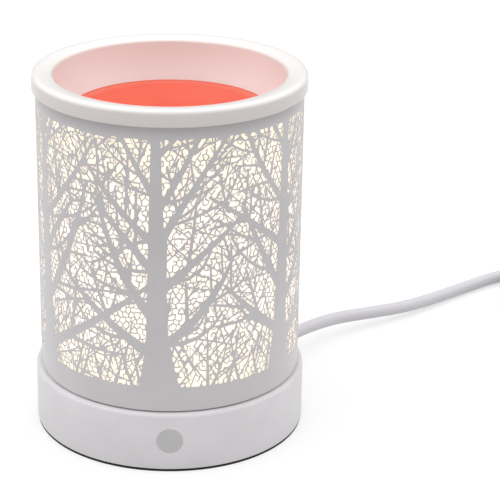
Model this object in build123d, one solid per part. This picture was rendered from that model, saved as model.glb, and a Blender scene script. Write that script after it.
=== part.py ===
from build123d import *
import math
import os
import random

# Electric wax melt warmer: a reflector lamp in a pierced drum shade melts scented wax in a lift-out dish.
# Lengths are in millimetres. Z is up, the floor is at zero, and the front, with the touch spot, faces -Y.
# An azimuth is in degrees from the front, growing towards +X.

# Shared clearances
overrun = 1.0  # how far a cut passes the face that it opens
slip = 0.3  # between pieces that are put together or move past each other

# Base housing, a drawn steel cup
base_radius = 57.5
deck_height = 25.9
base_wall = 1.0
base_edge_round = 1.6
deck_opening_length = 46.0
deck_opening_width = 24.0

# Foot ring and base plate
foot_thickness = 1.4
foot_inset = 0.4
foot_width = 8.0
plate_thickness = 1.0
pillar_radius = 3.5
pillar_gap = 8.0
pillar_count = 3
pillar_azimuth = 120.0
plate_screw_head = 0.9
plate_screw_length = 8.0

# Screws and nuts, M3
thread_radius = 1.5
head_radius = 2.75
head_height = 1.9
recess_length = 3.0
recess_width = 0.8
recess_depth = 0.6
nut_radius = 3.1
nut_height = 2.4
screw_past_nut = 0.8

# Touch spot on the front of the base
spot_radius = 5.5
spot_height = 14.1
spot_depth = 0.4

# Pierced shade
base_ledge = 2.3
shade_wall = 0.5
shade_foot_gap = 0.5
shade_top = 147.5
lower_band = 11.2
upper_band = 5.1

# Trees cut in the shade
tree_count = 6
first_tree_azimuth = -185.0
wood_seed = 11
seed_step = 31
trunk_width = 10.5
trunk_foot_width = 15.0
trunk_foot_height = 14.0
trunk_tip_width = 2.4
trunk_step = 20.0
trunk_lean = 3.0
limb_count = 13
limb_length = 58.0
limb_width = 5.0
limb_tip_width = 1.3
limb_step = 11.0
branch_count = 4
branch_length = 27.0
branch_width = 2.6
branch_tip_width = 1.0
branch_step = 7.0
shoot_turn = (24.0, 50.0)
shoot_spread = 22.0  # more turn than that for the lowest shoots
first_shoot_share = 0.04
last_shoot_share = 0.96
shoot_bend_share = (-0.75, 0.35)
shoot_length_share = (0.75, 1.3)
shoot_taper_share = 0.45
shoot_width_share = 0.5
least_gap_area = 4.0
least_edge = 0.3

# Collar that joins the shade to the deck
collar_wall = 0.5
collar_height = 6.5
collar_flange = 9.0
collar_bend = 0.4
shade_screw_count = 3
shade_screw_azimuth = 60.0
shade_screw_inset = 6.0

# Liner behind the piercing
liner_gap = 0.3
liner_wall = 0.7

# Wax dish
dish_overhang = 1.45
dish_rim_width = 8.65
dish_rim_height = 7.5
dish_rim_round = 2.6
dish_rim_inner_round = 1.7
dish_rim_fall = 0.5
dish_rim_lower_round = 0.8
dish_step_height = 5.0
dish_wall = 4.0
dish_depth = 23.0
dish_wall_slope = 21.4
dish_inner_round = 7.0
dish_outer_round = 9.0
wax_depth = 5.9

# Lamp holder and its bracket
cradle_drop = 9.0
bracket_thickness = 1.2
bracket_width = 14.0
bracket_foot = 12.0
bracket_bend = 0.8
bracket_window_length = 14.0
bracket_window_width = 8.0
holder_length = 34.0
holder_width = 19.0
holder_height = 14.0
holder_screw_spacing = 25.0
holder_screw_sink = 3.0

# Lamp pins and the holder's twist slots
pin_spacing = 10.0
pin_radius = 1.5
pin_head_radius = 2.5
pin_head_height = 2.2
pin_length = 7.0
twist_angle = 45.0
twist_spare = 4.0
contact_thickness = 0.9
contact_radius = 2.2
contact_stem_radius = 0.8
contact_stem_length = 4.0
contact_room = 1.2

# Reflector lamp
lamp_base_radius = 9.5
lamp_base_height = 14.0
reflector_height = 34.0
reflector_radius = 25.2
reflector_shoulder_radius = 21.5
reflector_shoulder_height = 15.5
reflector_wall = 1.4
reflector_lip = 2.6
reflector_round = 14.0
lamp_glass_thickness = 1.6
capsule_radius = 4.4
capsule_height = 19.0

# Touch dimmer
module_length = 30.0
module_width = 18.0
module_height = 12.0
module_wall = 1.2
module_x = -14.0
module_gap = 5.5
pad_thickness = 0.8
pad_margin = 1.5
board_thickness = 1.6
board_height = 5.0

# Leads inside the base
core_radius = 0.9
core_spacing = 2.4
lead_spacing = 5.0
splice_radius = 3.0
splice_length = 11.0
live_splice = (7.5, 7.5)
neutral_splice = (17.5, 7.5)
tag_radius = 3.6
tag_thickness = 0.8
tag_tongue_length = 4.0
tag_barrel_length = 5.0
tag_barrel_radius = 1.3

# Cord and the bush that holds it in the wall
cord_radius = 2.9
cord_azimuth = 136.0
cord_exit_height = 9.5
cord_inside = 18.0
bush_flange_radius = 6.0
bush_flange = 2.4
bush_flange_round = 0.8
bush_sleeve = 20.0
bush_sleeve_radius = 4.8
bush_tip_radius = 3.7
bush_neck_radius = 4.6
bush_collar_radius = 5.6
bush_collar = 3.0
cord_lead_out = 16.0
route_bend_share = 0.45

# Free cord, from the bush to the coil, points on its centre line
cord_route = [
    (79.5, 81.4, 7.8),
    (98.2, 91.7, 6.2),
    (118.0, 103.6, 4.4),
    (144.0, 126.8, 2.9),
]

# Coil of spare cord
coil_lead_in = 29.0
coil_start = (205.0, 152.0)
coil_start_angle = 100.0
coil_turns = 6.25
coil_steps_per_turn = 4
coil_mean_radius = 34.0
coil_pitch = 6.35
coil_layer_step = 6.4
coil_climb_turns = 0.5
coil_lift = 0.7
coil_samples_per_turn = 72
tie_angle = 235.0
tie_thickness = 0.6
tie_width = 8.0
tie_slack = 0.1
tie_side_slack = 0.5

# Tail of the cord, from the coil to the plug, points on its centre line
tail_lead_out = 16.0
tail_lead_in = 15.0
tail_route = [
    (258.6, 77.0, 8.4),
]

# Plug, lying on its back with its pins up
plug_x = 241.5
plug_y = 0.5
plug_turn = -12.0
plug_length = 46.0
plug_width = 49.0
plug_height = 17.5
plug_corner_round = 13.0
plug_back_round = 5.0
plug_face_round = 1.2
plug_entry_height = 8.2
plug_boot_length = 22.0
plug_boot_radius = 6.2
plug_boot_tip_radius = 4.2
plug_pin_spacing = 22.2
plug_earth_offset = 22.2
plug_pin_row = 5.5
plug_pin_length = 17.7
plug_pin_width = 6.35
plug_pin_thickness = 4.0
plug_earth_length = 22.7
plug_earth_width = 7.95
plug_pin_tip = 1.0
plug_pin_root = 5.0
fuse_radius = 3.15
fuse_length = 25.4
carrier_length = 28.0
carrier_width = 9.0
carrier_depth = 9.0

# Derived places
base_inner = base_radius - base_wall
pillar_circle = base_inner - pillar_gap - pillar_radius
module_y = math.sqrt((base_inner - module_gap) ** 2 - (module_length / 2 - module_x) ** 2) - module_width / 2
shade_radius = base_radius - base_ledge
shade_inner = shade_radius - shade_wall
shade_foot = deck_height + shade_foot_gap
window_low = deck_height + lower_band
window_high = shade_top - upper_band
collar_inner = shade_inner - collar_wall
collar_top = deck_height + collar_wall
liner_radius = collar_inner - liner_gap
liner_inner = liner_radius - liner_wall
plate_top = foot_thickness + plate_thickness
deck_under = deck_height - base_wall
cradle_top = deck_height - cradle_drop
cradle_under = cradle_top - bracket_thickness
holder_top = cradle_top + holder_height
lamp_foot = holder_top + slip
lamp_base_top = lamp_foot + lamp_base_height
lamp_top = lamp_base_top + reflector_height
dish_rim_radius = shade_radius + dish_overhang
dish_mouth_radius = dish_rim_radius - dish_rim_width
dish_floor = shade_top + dish_rim_height - dish_rim_fall - dish_depth
wax_level = dish_floor + wax_depth
coil_low = cord_radius + coil_lift
parts = {}


def outward(azimuth, radius, height):
    """Point at an azimuth, a distance from the upright axis and a height."""
    angle = math.radians(azimuth)
    return Vector(radius * math.sin(angle), -radius * math.cos(angle), height)


def rounded_face(corners, plane=Plane.XZ):
    """Face on a plane through (across, up, rounding) corners."""
    points = [(across, up) for across, up, rounding in corners]
    radii = [rounding for across, up, rounding in corners]
    return plane * make_face(FilletPolyline(*points, radius=radii, close=True))


def turned(corners):
    """Solid turned about the upright axis from (radius, height, rounding) corners."""
    return revolve(rounded_face(corners), Axis.Z)


def disc(radius, low, high, x=0, y=0):
    """Upright cylinder between two heights."""
    aligned = (Align.CENTER, Align.CENTER, Align.MIN)
    return Pos(x, y, low) * Cylinder(radius, high - low, align=aligned)


def block(length, width, low, high, x=0, y=0):
    """Upright box between two heights."""
    aligned = (Align.CENTER, Align.CENTER, Align.MIN)
    return Pos(x, y, low) * Box(length, width, high - low, align=aligned)


def ring(outer, inner, low, high):
    """Flat ring or tube about the upright axis."""
    return disc(outer, low, high) - disc(inner, low - overrun, high + overrun)


def group(solids):
    """Separate solids that share one node."""
    return Compound(children=list(solids))


def spread(count, first, radius):
    """Evenly spaced places on a circle about the upright axis."""
    return [outward(first + index * 360 / count, radius, 0) for index in range(count)]


def screw(x, y, seat, length, facing=1, head=head_height):
    """Pan head screw with a cross recess. Its head sits on the seat height, and facing is its side."""
    shape = disc(head_radius, 0, head) + disc(thread_radius, -length, 0)
    for angle in (0, 90):
        slot = block(recess_length, recess_width, head - recess_depth, head + overrun)
        shape = shape - Rot(0, 0, angle) * slot
    return Pos(x, y, seat) * Rot(0 if facing > 0 else 180, 0, 0) * shape


def nut(x, y, low):
    """Hexagon nut with its thread's bore."""
    shape = extrude(RegularPolygon(nut_radius, 6), nut_height)
    return Pos(x, y, low) * (shape - disc(thread_radius, -overrun, nut_height + overrun))


def holes(shape, places, radius, low, high):
    """Shape with upright holes at places."""
    return shape - [disc(radius, low - overrun, high + overrun, at.X, at.Y) for at in places]


def bend_radii(points):
    """Radius of the arc at each inner point of a route, as large as its two runs allow."""
    radii = []
    for before, point, after in zip(points, points[1:], points[2:]):
        turn = math.radians((point - before).get_angle(after - point))
        shorter = min((point - before).length, (after - point).length)
        radii.append(route_bend_share * shorter / math.tan(turn / 2))
    return radii


def tube(route, radius):
    """Round tube along straight runs joined by tangent arcs."""
    points = [Vector(*point) for point in route]
    path = FilletPolyline(*points, radius=bend_radii(points))
    return sweep(Plane(origin=path @ 0, z_dir=path % 0) * Circle(radius), path=path)


def tube_report(name, route, radius, shape):
    """Prints the radii of a tube's route, and its volume beside section times length."""
    points = [Vector(*point) for point in route]
    length = FilletPolyline(*points, radius=bend_radii(points)).length
    share = shape.volume / (math.pi * radius**2 * length)
    radii = ", ".join(f"{bend:.0f}" for bend in bend_radii(points))
    print(f"{name}: length {length:.1f}, radii {radii}, volume {share:.5f} of plain")


# Trees of the shade, drawn flat: u runs round the shade from the first tree, v is the height.


def grow_stem(start, lean, bend, length, step, widths):
    """Points (u, v, width) along a stem that leans from upright and bends as it grows."""
    steps = max(2, round(length / step))
    u, v = start
    points = [(u, v, widths[0])]
    for index in range(steps):
        lean += bend / steps
        u += length / steps * math.sin(lean)
        v += length / steps * math.cos(lean)
        points.append((u, v, widths[0] + (widths[1] - widths[0]) * (index + 1) / steps))
    return points


def place_on(stem, share):
    """Place, width and lean of a stem at a share of its length."""
    place = share * (len(stem) - 1)
    index = min(int(place), len(stem) - 2)
    (u, v, width), (next_u, next_v, next_width) = stem[index], stem[index + 1]
    along = place - index
    start = (u + (next_u - u) * along, v + (next_v - v) * along)
    return start, width + (next_width - width) * along, math.atan2(next_u - u, next_v - v)


def side_stems(stem, seed, count, length, width, tip, step):
    """Side shoots of a stem, left and right in turn, each with its own chance numbers."""
    shoots = []
    for index in range(count):
        chance = random.Random(seed * seed_step + index)
        share = first_shoot_share + (1 - first_shoot_share) * (index + chance.random()) / count
        start, stem_width, lean = place_on(stem, min(share, last_shoot_share))
        side = 1 if (index + seed) % 2 else -1
        lean += side * math.radians(chance.uniform(*shoot_turn) + shoot_spread * (1 - share) ** 3)
        bend = chance.uniform(*shoot_bend_share) * lean
        long = length * chance.uniform(*shoot_length_share) * (1 - share * shoot_taper_share)
        wide = min(width, stem_width * shoot_width_share)
        shoots.append((seed * seed_step + index, grow_stem(start, lean, bend, long, step, (max(wide, tip), tip))))
    return shoots


def wood():
    """All stems of the trees: trunks with flared feet, their limbs and the limbs' branches."""
    spacing = 2 * math.pi * shade_radius / tree_count
    low = window_low - overrun
    high = window_high + trunk_step - low
    stems = []
    for tree in range(tree_count):
        seed = wood_seed * seed_step + tree
        lean = math.radians(random.Random(seed).uniform(-trunk_lean, trunk_lean))
        start = (tree * spacing, low)
        trunk = grow_stem(start, lean, -lean, high, trunk_step, (trunk_width, trunk_tip_width))
        flare = (trunk_foot_width, trunk_width)
        foot = grow_stem(start, lean, 0, trunk_foot_height, trunk_foot_height, flare)
        stems += [trunk, foot]
        limbs = side_stems(trunk, seed, limb_count, limb_length, limb_width, limb_tip_width, limb_step)
        for limb_seed, limb in limbs:
            stems.append(limb)
            sizes = (branch_count, branch_length, branch_width, branch_tip_width, branch_step)
            stems += [branch for branch_seed, branch in side_stems(limb, limb_seed, *sizes)]
    return stems


def stem_faces(stem):
    """Flat strips of a stem, one for each of its steps, with round joints."""
    faces = []
    for (u, v, width), (next_u, next_v, next_width) in zip(stem, stem[1:]):
        along = Vector(next_u - u, next_v - v).normalized()
        side = Vector(-along.Y, along.X)
        start, end = Vector(u, v), Vector(next_u, next_v)
        lap = along * (next_width / 4)
        corners = [start + side * (width / 2), end + lap + side * (next_width / 2)]
        corners += [end + lap - side * (next_width / 2), start - side * (width / 2)]
        faces.append(make_face(Polyline(*corners, close=True)))
    return faces


def gap_outlines():
    """Outlines of the gaps that the trees leave in the shade's window."""
    turn = 2 * math.pi * shade_radius
    middle = (window_low + window_high) / 2
    window = Pos(turn / 2, middle) * Rectangle(turn, window_high - window_low)
    strips = []
    for stem in wood():
        for shift in (-turn, 0, turn):
            moved = [(u + shift, v, width) for u, v, width in stem]
            if min(point[0] for point in moved) < turn and max(point[0] for point in moved) > 0:
                strips += stem_faces(moved)
    outlines = []
    for gap in (window - strips).faces():
        if gap.area > least_gap_area:
            corners = []
            for edge in gap.outer_wire().order_edges():
                corner = edge @ 0
                if not corners or (corner - corners[-1]).length > least_edge:
                    corners.append(corner)
            if (corners[0] - corners[-1]).length < least_edge:
                corners.pop()
            outlines.append(corners)
    return outlines


def gap_cutter(corners):
    """Prism that cuts one gap through the shade's wall, square to the wall at the gap's middle."""
    turns = [corner.X / shade_radius for corner in corners]
    middle = (min(turns) + max(turns)) / 2
    half = (max(turns) - min(turns)) / 2
    azimuth = first_tree_azimuth + math.degrees(middle)
    inside = shade_inner * math.cos(half) - overrun
    points = [(shade_radius * math.sin(turn - middle), corner.Y) for turn, corner in zip(turns, corners)]
    outside = outward(azimuth, inside, 0)
    plane = Plane(origin=outside, x_dir=outward(azimuth + 90, 1, 0), z_dir=outward(azimuth, 1, 0))
    face = plane * make_face(Polyline(*points, close=True))
    return extrude(face, shade_radius + overrun - inside)


def make_base():
    housing = turned(
        [
            (0, deck_under, 0),
            (0, deck_height, 0),
            (base_radius, deck_height, base_edge_round),
            (base_radius, foot_thickness, 0),
            (base_inner, foot_thickness, 0),
            (base_inner, deck_under, base_edge_round - base_wall),
        ]
    )
    spot_cutter = Pos(0, -base_radius, spot_height) * Rot(90, 0, 0) * Cylinder(spot_radius, base_wall * 4)
    spot = ring(base_radius, base_radius - spot_depth, spot_height - spot_radius, spot_height + spot_radius)
    spot = spot & spot_cutter
    housing = housing - spot
    bore = disc(bush_neck_radius, base_radius - base_wall * 4, base_radius + overrun)
    housing = housing - cord_exit * bore
    opening = (deck_opening_length, deck_opening_width)
    housing = housing - block(*opening, deck_under - overrun, deck_height + overrun)
    housing = holes(housing, shade_screw_places, thread_radius + slip, deck_under, deck_height)
    housing = holes(housing, bracket_screw_places, thread_radius + slip, deck_under, deck_height)
    parts["base_housing"] = housing
    parts["touch_spot"] = spot
    parts["foot_ring"] = ring(base_radius - foot_inset, base_radius - foot_width, 0, foot_thickness)

    plate = disc(base_inner - slip, foot_thickness, plate_top)
    pillars = spread(pillar_count, pillar_azimuth, pillar_circle)
    parts["base_plate"] = holes(plate, pillars, thread_radius + slip, foot_thickness, plate_top)
    posts = []
    for at in pillars:
        post = disc(pillar_radius, plate_top, deck_under, at.X, at.Y)
        bore = disc(thread_radius, plate_top - overrun, plate_top + plate_screw_length, at.X, at.Y)
        posts.append(post - bore)
    parts["base_pillars"] = group(posts)
    length = plate_screw_length
    screws = [screw(at.X, at.Y, foot_thickness, length, -1, plate_screw_head) for at in pillars]
    parts["base_plate_screws"] = group(screws)


def make_shade():
    shade = ring(shade_radius, shade_inner, shade_foot, shade_top)
    cutters = [gap_cutter(corners) for corners in gap_outlines()]
    cutters = [cutter for cutter in cutters if cutter.is_valid]  # an outline that meets itself stays metal
    print(f"pierced_shade: {len(cutters)} gaps")
    parts["pierced_shade"] = shade - cutters
    collar = turned(
        [
            (shade_inner, deck_height, collar_bend + collar_wall),
            (shade_inner, deck_height + collar_height, 0),
            (collar_inner, deck_height + collar_height, 0),
            (collar_inner, collar_top, collar_bend),
            (shade_inner - collar_flange, collar_top, 0),
            (shade_inner - collar_flange, deck_height, 0),
        ]
    )
    parts["shade_collar"] = holes(collar, shade_screw_places, thread_radius + slip, deck_height, collar_top)
    length = base_wall + collar_wall + nut_height + screw_past_nut
    parts["shade_screws"] = group(screw(at.X, at.Y, deck_under, length, -1) for at in shade_screw_places)
    parts["shade_nuts"] = group(nut(at.X, at.Y, collar_top) for at in shade_screw_places)
    parts["diffuser_liner"] = ring(liner_radius, liner_inner, collar_top, shade_top - slip)


def dish_hollow():
    """Space inside the dish, from its floor to above its rim."""
    rim = shade_top + dish_rim_height
    fall = math.tan(math.radians(dish_wall_slope))
    mouth = rim - dish_rim_fall
    floor_radius = dish_mouth_radius - (mouth - dish_floor) * fall
    high_radius = dish_mouth_radius + (rim + overrun - mouth) * fall
    corners = [(0, dish_floor, 0), (floor_radius, dish_floor, dish_inner_round)]
    return turned(corners + [(high_radius, rim + overrun, 0), (0, rim + overrun, 0)])


def make_dish():
    rim = shade_top + dish_rim_height
    step = shade_top - dish_step_height
    fall = math.tan(math.radians(dish_wall_slope))
    thickness = dish_wall / math.cos(math.radians(dish_wall_slope))
    mouth = rim - dish_rim_fall
    step_wall_radius = dish_mouth_radius - (mouth - step) * fall + thickness
    under = dish_floor - dish_wall
    under_radius = step_wall_radius - (step - under) * fall
    step_radius = liner_inner - slip * 2
    body = turned(
        [
            (0, under, 0),
            (under_radius, under, dish_outer_round),
            (step_wall_radius, step, 0),
            (step_radius, step, slip),
            (step_radius, shade_top, 0),
            (dish_rim_radius, shade_top, dish_rim_lower_round),
            (dish_rim_radius, rim, dish_rim_round),
            (dish_mouth_radius, mouth, 0),
            (0, mouth, 0),
        ]
    )
    hollow = dish_hollow()
    dish = body - hollow
    circles = dish.edges().filter_by(GeomType.CIRCLE)
    mouth_edge = circles.sort_by(lambda edge: abs(edge.radius - dish_mouth_radius))[0]
    parts["wax_dish"] = fillet(mouth_edge, dish_rim_inner_round)
    parts["wax_pool"] = hollow & disc(dish_rim_radius, dish_floor, wax_level)


def slot_arc(turn, start, swept, width):
    """Curved slot along the circle of the lamp's pins, turned about the upright axis."""
    return Rot(0, 0, turn) * SlotArc(CenterArc((0, 0), pin_spacing / 2, start, swept), width)


def make_lamp_holder():
    leg = deck_opening_length / 2 - bracket_bend
    inner = leg - bracket_thickness
    end = leg + bracket_foot
    foot_top = deck_height + bracket_thickness
    outer_bend = bracket_bend + bracket_thickness
    half = [
        (end, foot_top, 0),
        (end, deck_height, 0),
        (leg, deck_height, bracket_bend),
        (leg, cradle_under, outer_bend),
    ]
    under = [(-across, up, bend) for across, up, bend in reversed(half)]
    top = [(-inner, foot_top, outer_bend), (-inner, cradle_top, bracket_bend)]
    top += [(inner, cradle_top, bracket_bend), (inner, foot_top, outer_bend)]
    bracket = extrude(rounded_face(half + under + top), bracket_width / 2, both=True)
    bracket = holes(bracket, bracket_screw_places, thread_radius + slip, deck_height, foot_top)
    bracket = holes(bracket, holder_screw_places, thread_radius + slip, cradle_under, cradle_top)
    window = block(bracket_window_length, bracket_window_width, cradle_under - overrun, cradle_top + overrun)
    parts["lamp_bracket"] = bracket - window
    length = bracket_thickness + base_wall + tag_thickness + nut_height + screw_past_nut
    parts["bracket_screws"] = group(screw(at.X, at.Y, foot_top, length) for at in bracket_screw_places)
    nuts = deck_under - tag_thickness - nut_height
    parts["bracket_nuts"] = group(nut(at.X, at.Y, nuts) for at in bracket_screw_places)

    holder = extrude(Pos(0, 0, cradle_top) * SlotOverall(holder_length, holder_width), holder_height)
    seat = holder_top - holder_screw_sink
    holder = holes(holder, holder_screw_places, thread_radius + slip, cradle_top, holder_top)
    holder = holes(holder, holder_screw_places, head_radius + slip, seat + overrun, holder_top)
    lip_under = lamp_foot - pin_length + pin_head_height + slip
    room_floor = lamp_foot - pin_length - contact_room
    entry_radius = pin_head_radius + slip
    for turn in (0, 180):
        narrow = slot_arc(turn, 0, twist_angle, (pin_radius + slip) * 2)
        wide = slot_arc(turn, -twist_spare, twist_angle + twist_spare * 2, entry_radius * 2)
        holder = holder - extrude(Pos(0, 0, lip_under) * narrow, holder_top - lip_under + overrun)
        holder = holder - extrude(Pos(0, 0, room_floor) * wide, lip_under - room_floor)
        entry = disc(entry_radius, lip_under, holder_top + overrun, pin_spacing / 2)
        stem_hole = disc(contact_stem_radius, cradle_top - overrun, room_floor + overrun, pin_spacing / 2)
        holder = holder - Rot(0, 0, turn + twist_angle) * entry - Rot(0, 0, turn) * stem_hole
    parts["lamp_holder"] = holder
    length = seat - cradle_under + nut_height + screw_past_nut
    parts["holder_screws"] = group(screw(at.X, at.Y, seat, length) for at in holder_screw_places)
    parts["holder_nuts"] = group(nut(at.X, at.Y, cradle_under - nut_height) for at in holder_screw_places)
    contacts = []
    for x in (-pin_spacing / 2, pin_spacing / 2):
        plate = disc(contact_radius, room_floor, room_floor + contact_thickness, x)
        contacts.append(plate + disc(contact_stem_radius, stem_low, room_floor, x))
    parts["holder_contacts"] = group(contacts)


def make_lamp():
    parts["lamp_base"] = turned(
        [
            (0, lamp_foot, 0),
            (lamp_base_radius, lamp_foot, reflector_wall),
            (lamp_base_radius, lamp_base_top, 0),
            (0, lamp_base_top, 0),
        ]
    )
    pins = []
    for x in (-pin_spacing / 2, pin_spacing / 2):
        low = lamp_foot - pin_length
        head = disc(pin_head_radius, low, low + pin_head_height, x)
        pins.append(head + disc(pin_radius, low, lamp_foot, x))
    parts["lamp_pins"] = group(pins)
    shoulder = lamp_base_top + reflector_shoulder_height
    inner = reflector_wall
    parts["lamp_reflector"] = turned(
        [
            (lamp_base_radius - inner, lamp_base_top, 0),
            (lamp_base_radius, lamp_base_top, 0),
            (reflector_shoulder_radius, shoulder, reflector_round),
            (reflector_radius - inner, lamp_top - reflector_lip, 0),
            (reflector_radius, lamp_top - reflector_lip, 0),
            (reflector_radius, lamp_top, 0),
            (reflector_radius - inner, lamp_top, 0),
            (reflector_radius - inner, lamp_top - lamp_glass_thickness, 0),
            (reflector_radius - inner * 2, lamp_top - lamp_glass_thickness, 0),
            (reflector_shoulder_radius - inner, shoulder, reflector_round),
        ]
    )
    parts["lamp_glass"] = disc(reflector_radius - inner, lamp_top - lamp_glass_thickness, lamp_top)
    capsule_top = lamp_base_top + capsule_height
    parts["lamp_capsule"] = turned(
        [
            (0, lamp_base_top, 0),
            (capsule_radius, lamp_base_top, 0),
            (capsule_radius, capsule_top, capsule_radius / 2),
            (0, capsule_top, 0),
        ]
    )


def make_dimmer():
    low = plate_top + pad_thickness
    high = low + module_height
    at = (module_x, module_y)
    parts["dimmer_pad"] = block(
        module_length - pad_margin * 2, module_width - pad_margin * 2, plate_top, low, *at
    )
    room = (module_length - module_wall * 2, module_width - module_wall * 2)
    parts["dimmer_case"] = block(module_length, module_width, low, high, *at) - block(
        *room, low + module_wall, high - module_wall, *at
    )
    board_low = low + module_wall
    board = block(*room, board_low, board_low + board_thickness, *at)
    chip_length = module_length / 3
    chip = block(chip_length, module_width / 3, board_low + board_thickness, board_low + board_height, *at)
    parts["dimmer_board"] = board + chip


def make_leads():
    front = module_y - module_width / 2
    lead_low = plate_top + pad_thickness + module_height / 3
    lead_high = lead_low + module_height / 3
    splice_z = plate_top + splice_radius
    offset = core_radius + slip
    sheath_end = outward(cord_azimuth, base_inner - cord_inside, cord_exit_height)
    inward = outward(cord_azimuth, -splice_length / 2, 0)
    live_start = sheath_end + Vector(0, 0, core_spacing / 2)
    neutral_start = sheath_end - Vector(0, 0, core_spacing / 2)

    splices = []
    for x, y in (live_splice, neutral_splice):
        splice = Pos(x, y, splice_z) * Rot(90, 0, 0) * Cylinder(splice_radius, splice_length)
        splices.append(splice)
    parts["splice_connectors"] = group(splices)

    live_x, live_y = live_splice[0], live_splice[1] + splice_length / 2
    neutral_x, neutral_y = neutral_splice[0], neutral_splice[1] + splice_length / 2
    before = splice_length / 2
    cores = [
        [
            live_start,
            live_start + inward,
            Vector(live_x + offset * 4, live_y + before, live_start.Z - before / 3),
            Vector(live_x + offset, live_y + before / 2, splice_z),
            Vector(live_x + offset, live_y, splice_z),
        ],
        [
            neutral_start,
            neutral_start + inward,
            Vector(neutral_x + offset, neutral_y + before / 2, splice_z),
            Vector(neutral_x + offset, neutral_y, splice_z),
        ],
    ]
    parts["cord_cores"] = group(tube(route, core_radius) for route in cores)

    live_out = module_x + module_length / 3
    neutral_out = live_out - lead_spacing
    load_out = module_x - lead_spacing
    sense_out = module_x - module_length / 3
    high = lead_high + before / 3
    leads = [
        [
            Vector(live_out, front, lead_low),
            Vector(live_out, front - before / 2, lead_low),
            Vector(live_x - offset, live_y + before / 2, splice_z),
            Vector(live_x - offset, live_y, splice_z),
        ],
        [
            Vector(neutral_out, front, lead_high),
            Vector(neutral_out, front - before / 2, lead_high),
            Vector(live_x, live_y + before, high),
            Vector(neutral_x - offset * 2, neutral_y + before, high),
            Vector(neutral_x - offset, neutral_y + before / 2, splice_z),
            Vector(neutral_x - offset, neutral_y, splice_z),
        ],
    ]
    parts["dimmer_leads"] = group(tube(route, core_radius) for route in leads)

    stem_x = pin_spacing / 2
    under = stem_low - before
    lamp_leads = [
        [
            Vector(load_out, front, lead_low),
            Vector(load_out, front - before, lead_low),
            Vector(-stem_x - before, before, under),
            Vector(-stem_x, 0, under + core_radius),
            Vector(-stem_x, 0, stem_low),
        ],
        [
            Vector(neutral_x, neutral_splice[1] - splice_length / 2, splice_z),
            Vector(neutral_x, neutral_splice[1] - splice_length / 2 - before, splice_z),
            Vector(stem_x + before, -before * 2, splice_z + core_radius),
            Vector(stem_x, -before, under),
            Vector(stem_x, 0, under + core_radius),
            Vector(stem_x, 0, stem_low),
        ],
    ]
    parts["lamp_leads"] = group(tube(route, core_radius) for route in lamp_leads)

    tag = bracket_screw_places[0]
    tag_z = deck_under - tag_thickness
    eye = disc(tag_radius, tag_z, deck_under, tag.X, tag.Y) - disc(
        thread_radius + slip, tag_z - overrun, deck_under + overrun, tag.X, tag.Y
    )
    barrel_y = tag.Y + tag_radius + tag_tongue_length
    tail_y = barrel_y + tag_barrel_length
    tail_z = deck_under - tag_barrel_radius
    tongue = block(tag_barrel_radius * 2, barrel_y - tag.Y, tag_z, deck_under, tag.X, (barrel_y + tag.Y) / 2)
    tongue = tongue - disc(tag_radius, tag_z - overrun, deck_under + overrun, tag.X, tag.Y)
    barrel = Rot(90, 0, 0) * Cylinder(tag_barrel_radius, tag_barrel_length)
    parts["sense_tag"] = eye + tongue + Pos(tag.X, (barrel_y + tail_y) / 2, tail_z) * barrel
    sense = [
        Vector(sense_out, front, lead_high),
        Vector(sense_out, front - before / 2, lead_high),
        Vector(tag.X, front - before / 2, tail_z - before),
        Vector(tag.X, tail_y + before / 2, tail_z),
        Vector(tag.X, tail_y, tail_z),
    ]
    parts["sense_lead"] = tube(sense, core_radius)


def make_cord():
    wall_in = base_inner - bush_collar
    wall_out = base_radius + bush_sleeve
    flange_out = base_radius + bush_flange
    bush = turned(
        [
            (cord_radius, wall_in, 0),
            (cord_radius, wall_out, 0),
            (bush_tip_radius, wall_out, 0),
            (bush_sleeve_radius, flange_out, 0),
            (bush_flange_radius, flange_out, bush_flange_round),
            (bush_flange_radius, base_radius, 0),
            (bush_neck_radius, base_radius, 0),
            (bush_neck_radius, base_inner, 0),
            (bush_collar_radius, base_inner, 0),
            (bush_collar_radius, wall_in, 0),
        ]
    )
    wall = ring(base_radius, base_inner, 0, deck_height)
    hole = disc(bush_neck_radius, base_radius - base_wall * 4, base_radius + overrun)
    parts["cord_bush"] = cord_exit * bush - (wall - cord_exit * hole)
    inner_low = base_inner - cord_inside
    parts["inner_cord"] = cord_exit * disc(cord_radius, inner_low, wall_out)

    start = outward(cord_azimuth, wall_out, cord_exit_height)
    coil_path, entry, leave = coil_wire()
    first = start + outward(cord_azimuth, cord_lead_out, 0)
    last = entry - coil_direction(0) * coil_lead_in
    free = [start, first, *cord_route, last, entry]
    parts["cord_free"] = tube(free, cord_radius)
    tube_report("cord_free", free, cord_radius, parts["cord_free"])
    first = leave + coil_direction(coil_turns) * tail_lead_out
    boot_end = plug_length / 2 + plug_boot_length
    last = (plug_place * Pos(0, boot_end + tail_lead_in, plug_entry_height)).position
    tail = [leave, first, *tail_route, last, (plug_place * Pos(0, boot_end, plug_entry_height)).position]
    parts["cord_tail"] = tube(tail, cord_radius)
    tube_report("cord_tail", tail, cord_radius, parts["cord_tail"])

    section = Plane(origin=coil_path @ 0, z_dir=coil_path % 0) * Circle(cord_radius)
    parts["cord_coil"] = sweep(section, path=coil_path)
    length = coil_path.length
    plain = math.pi * cord_radius**2 * length
    share = parts["cord_coil"].volume / plain
    print(f"cord_coil: length {length:.1f}, volume {share:.5f} of plain, least gap {coil_gap(coil_path):.3f}")


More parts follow.
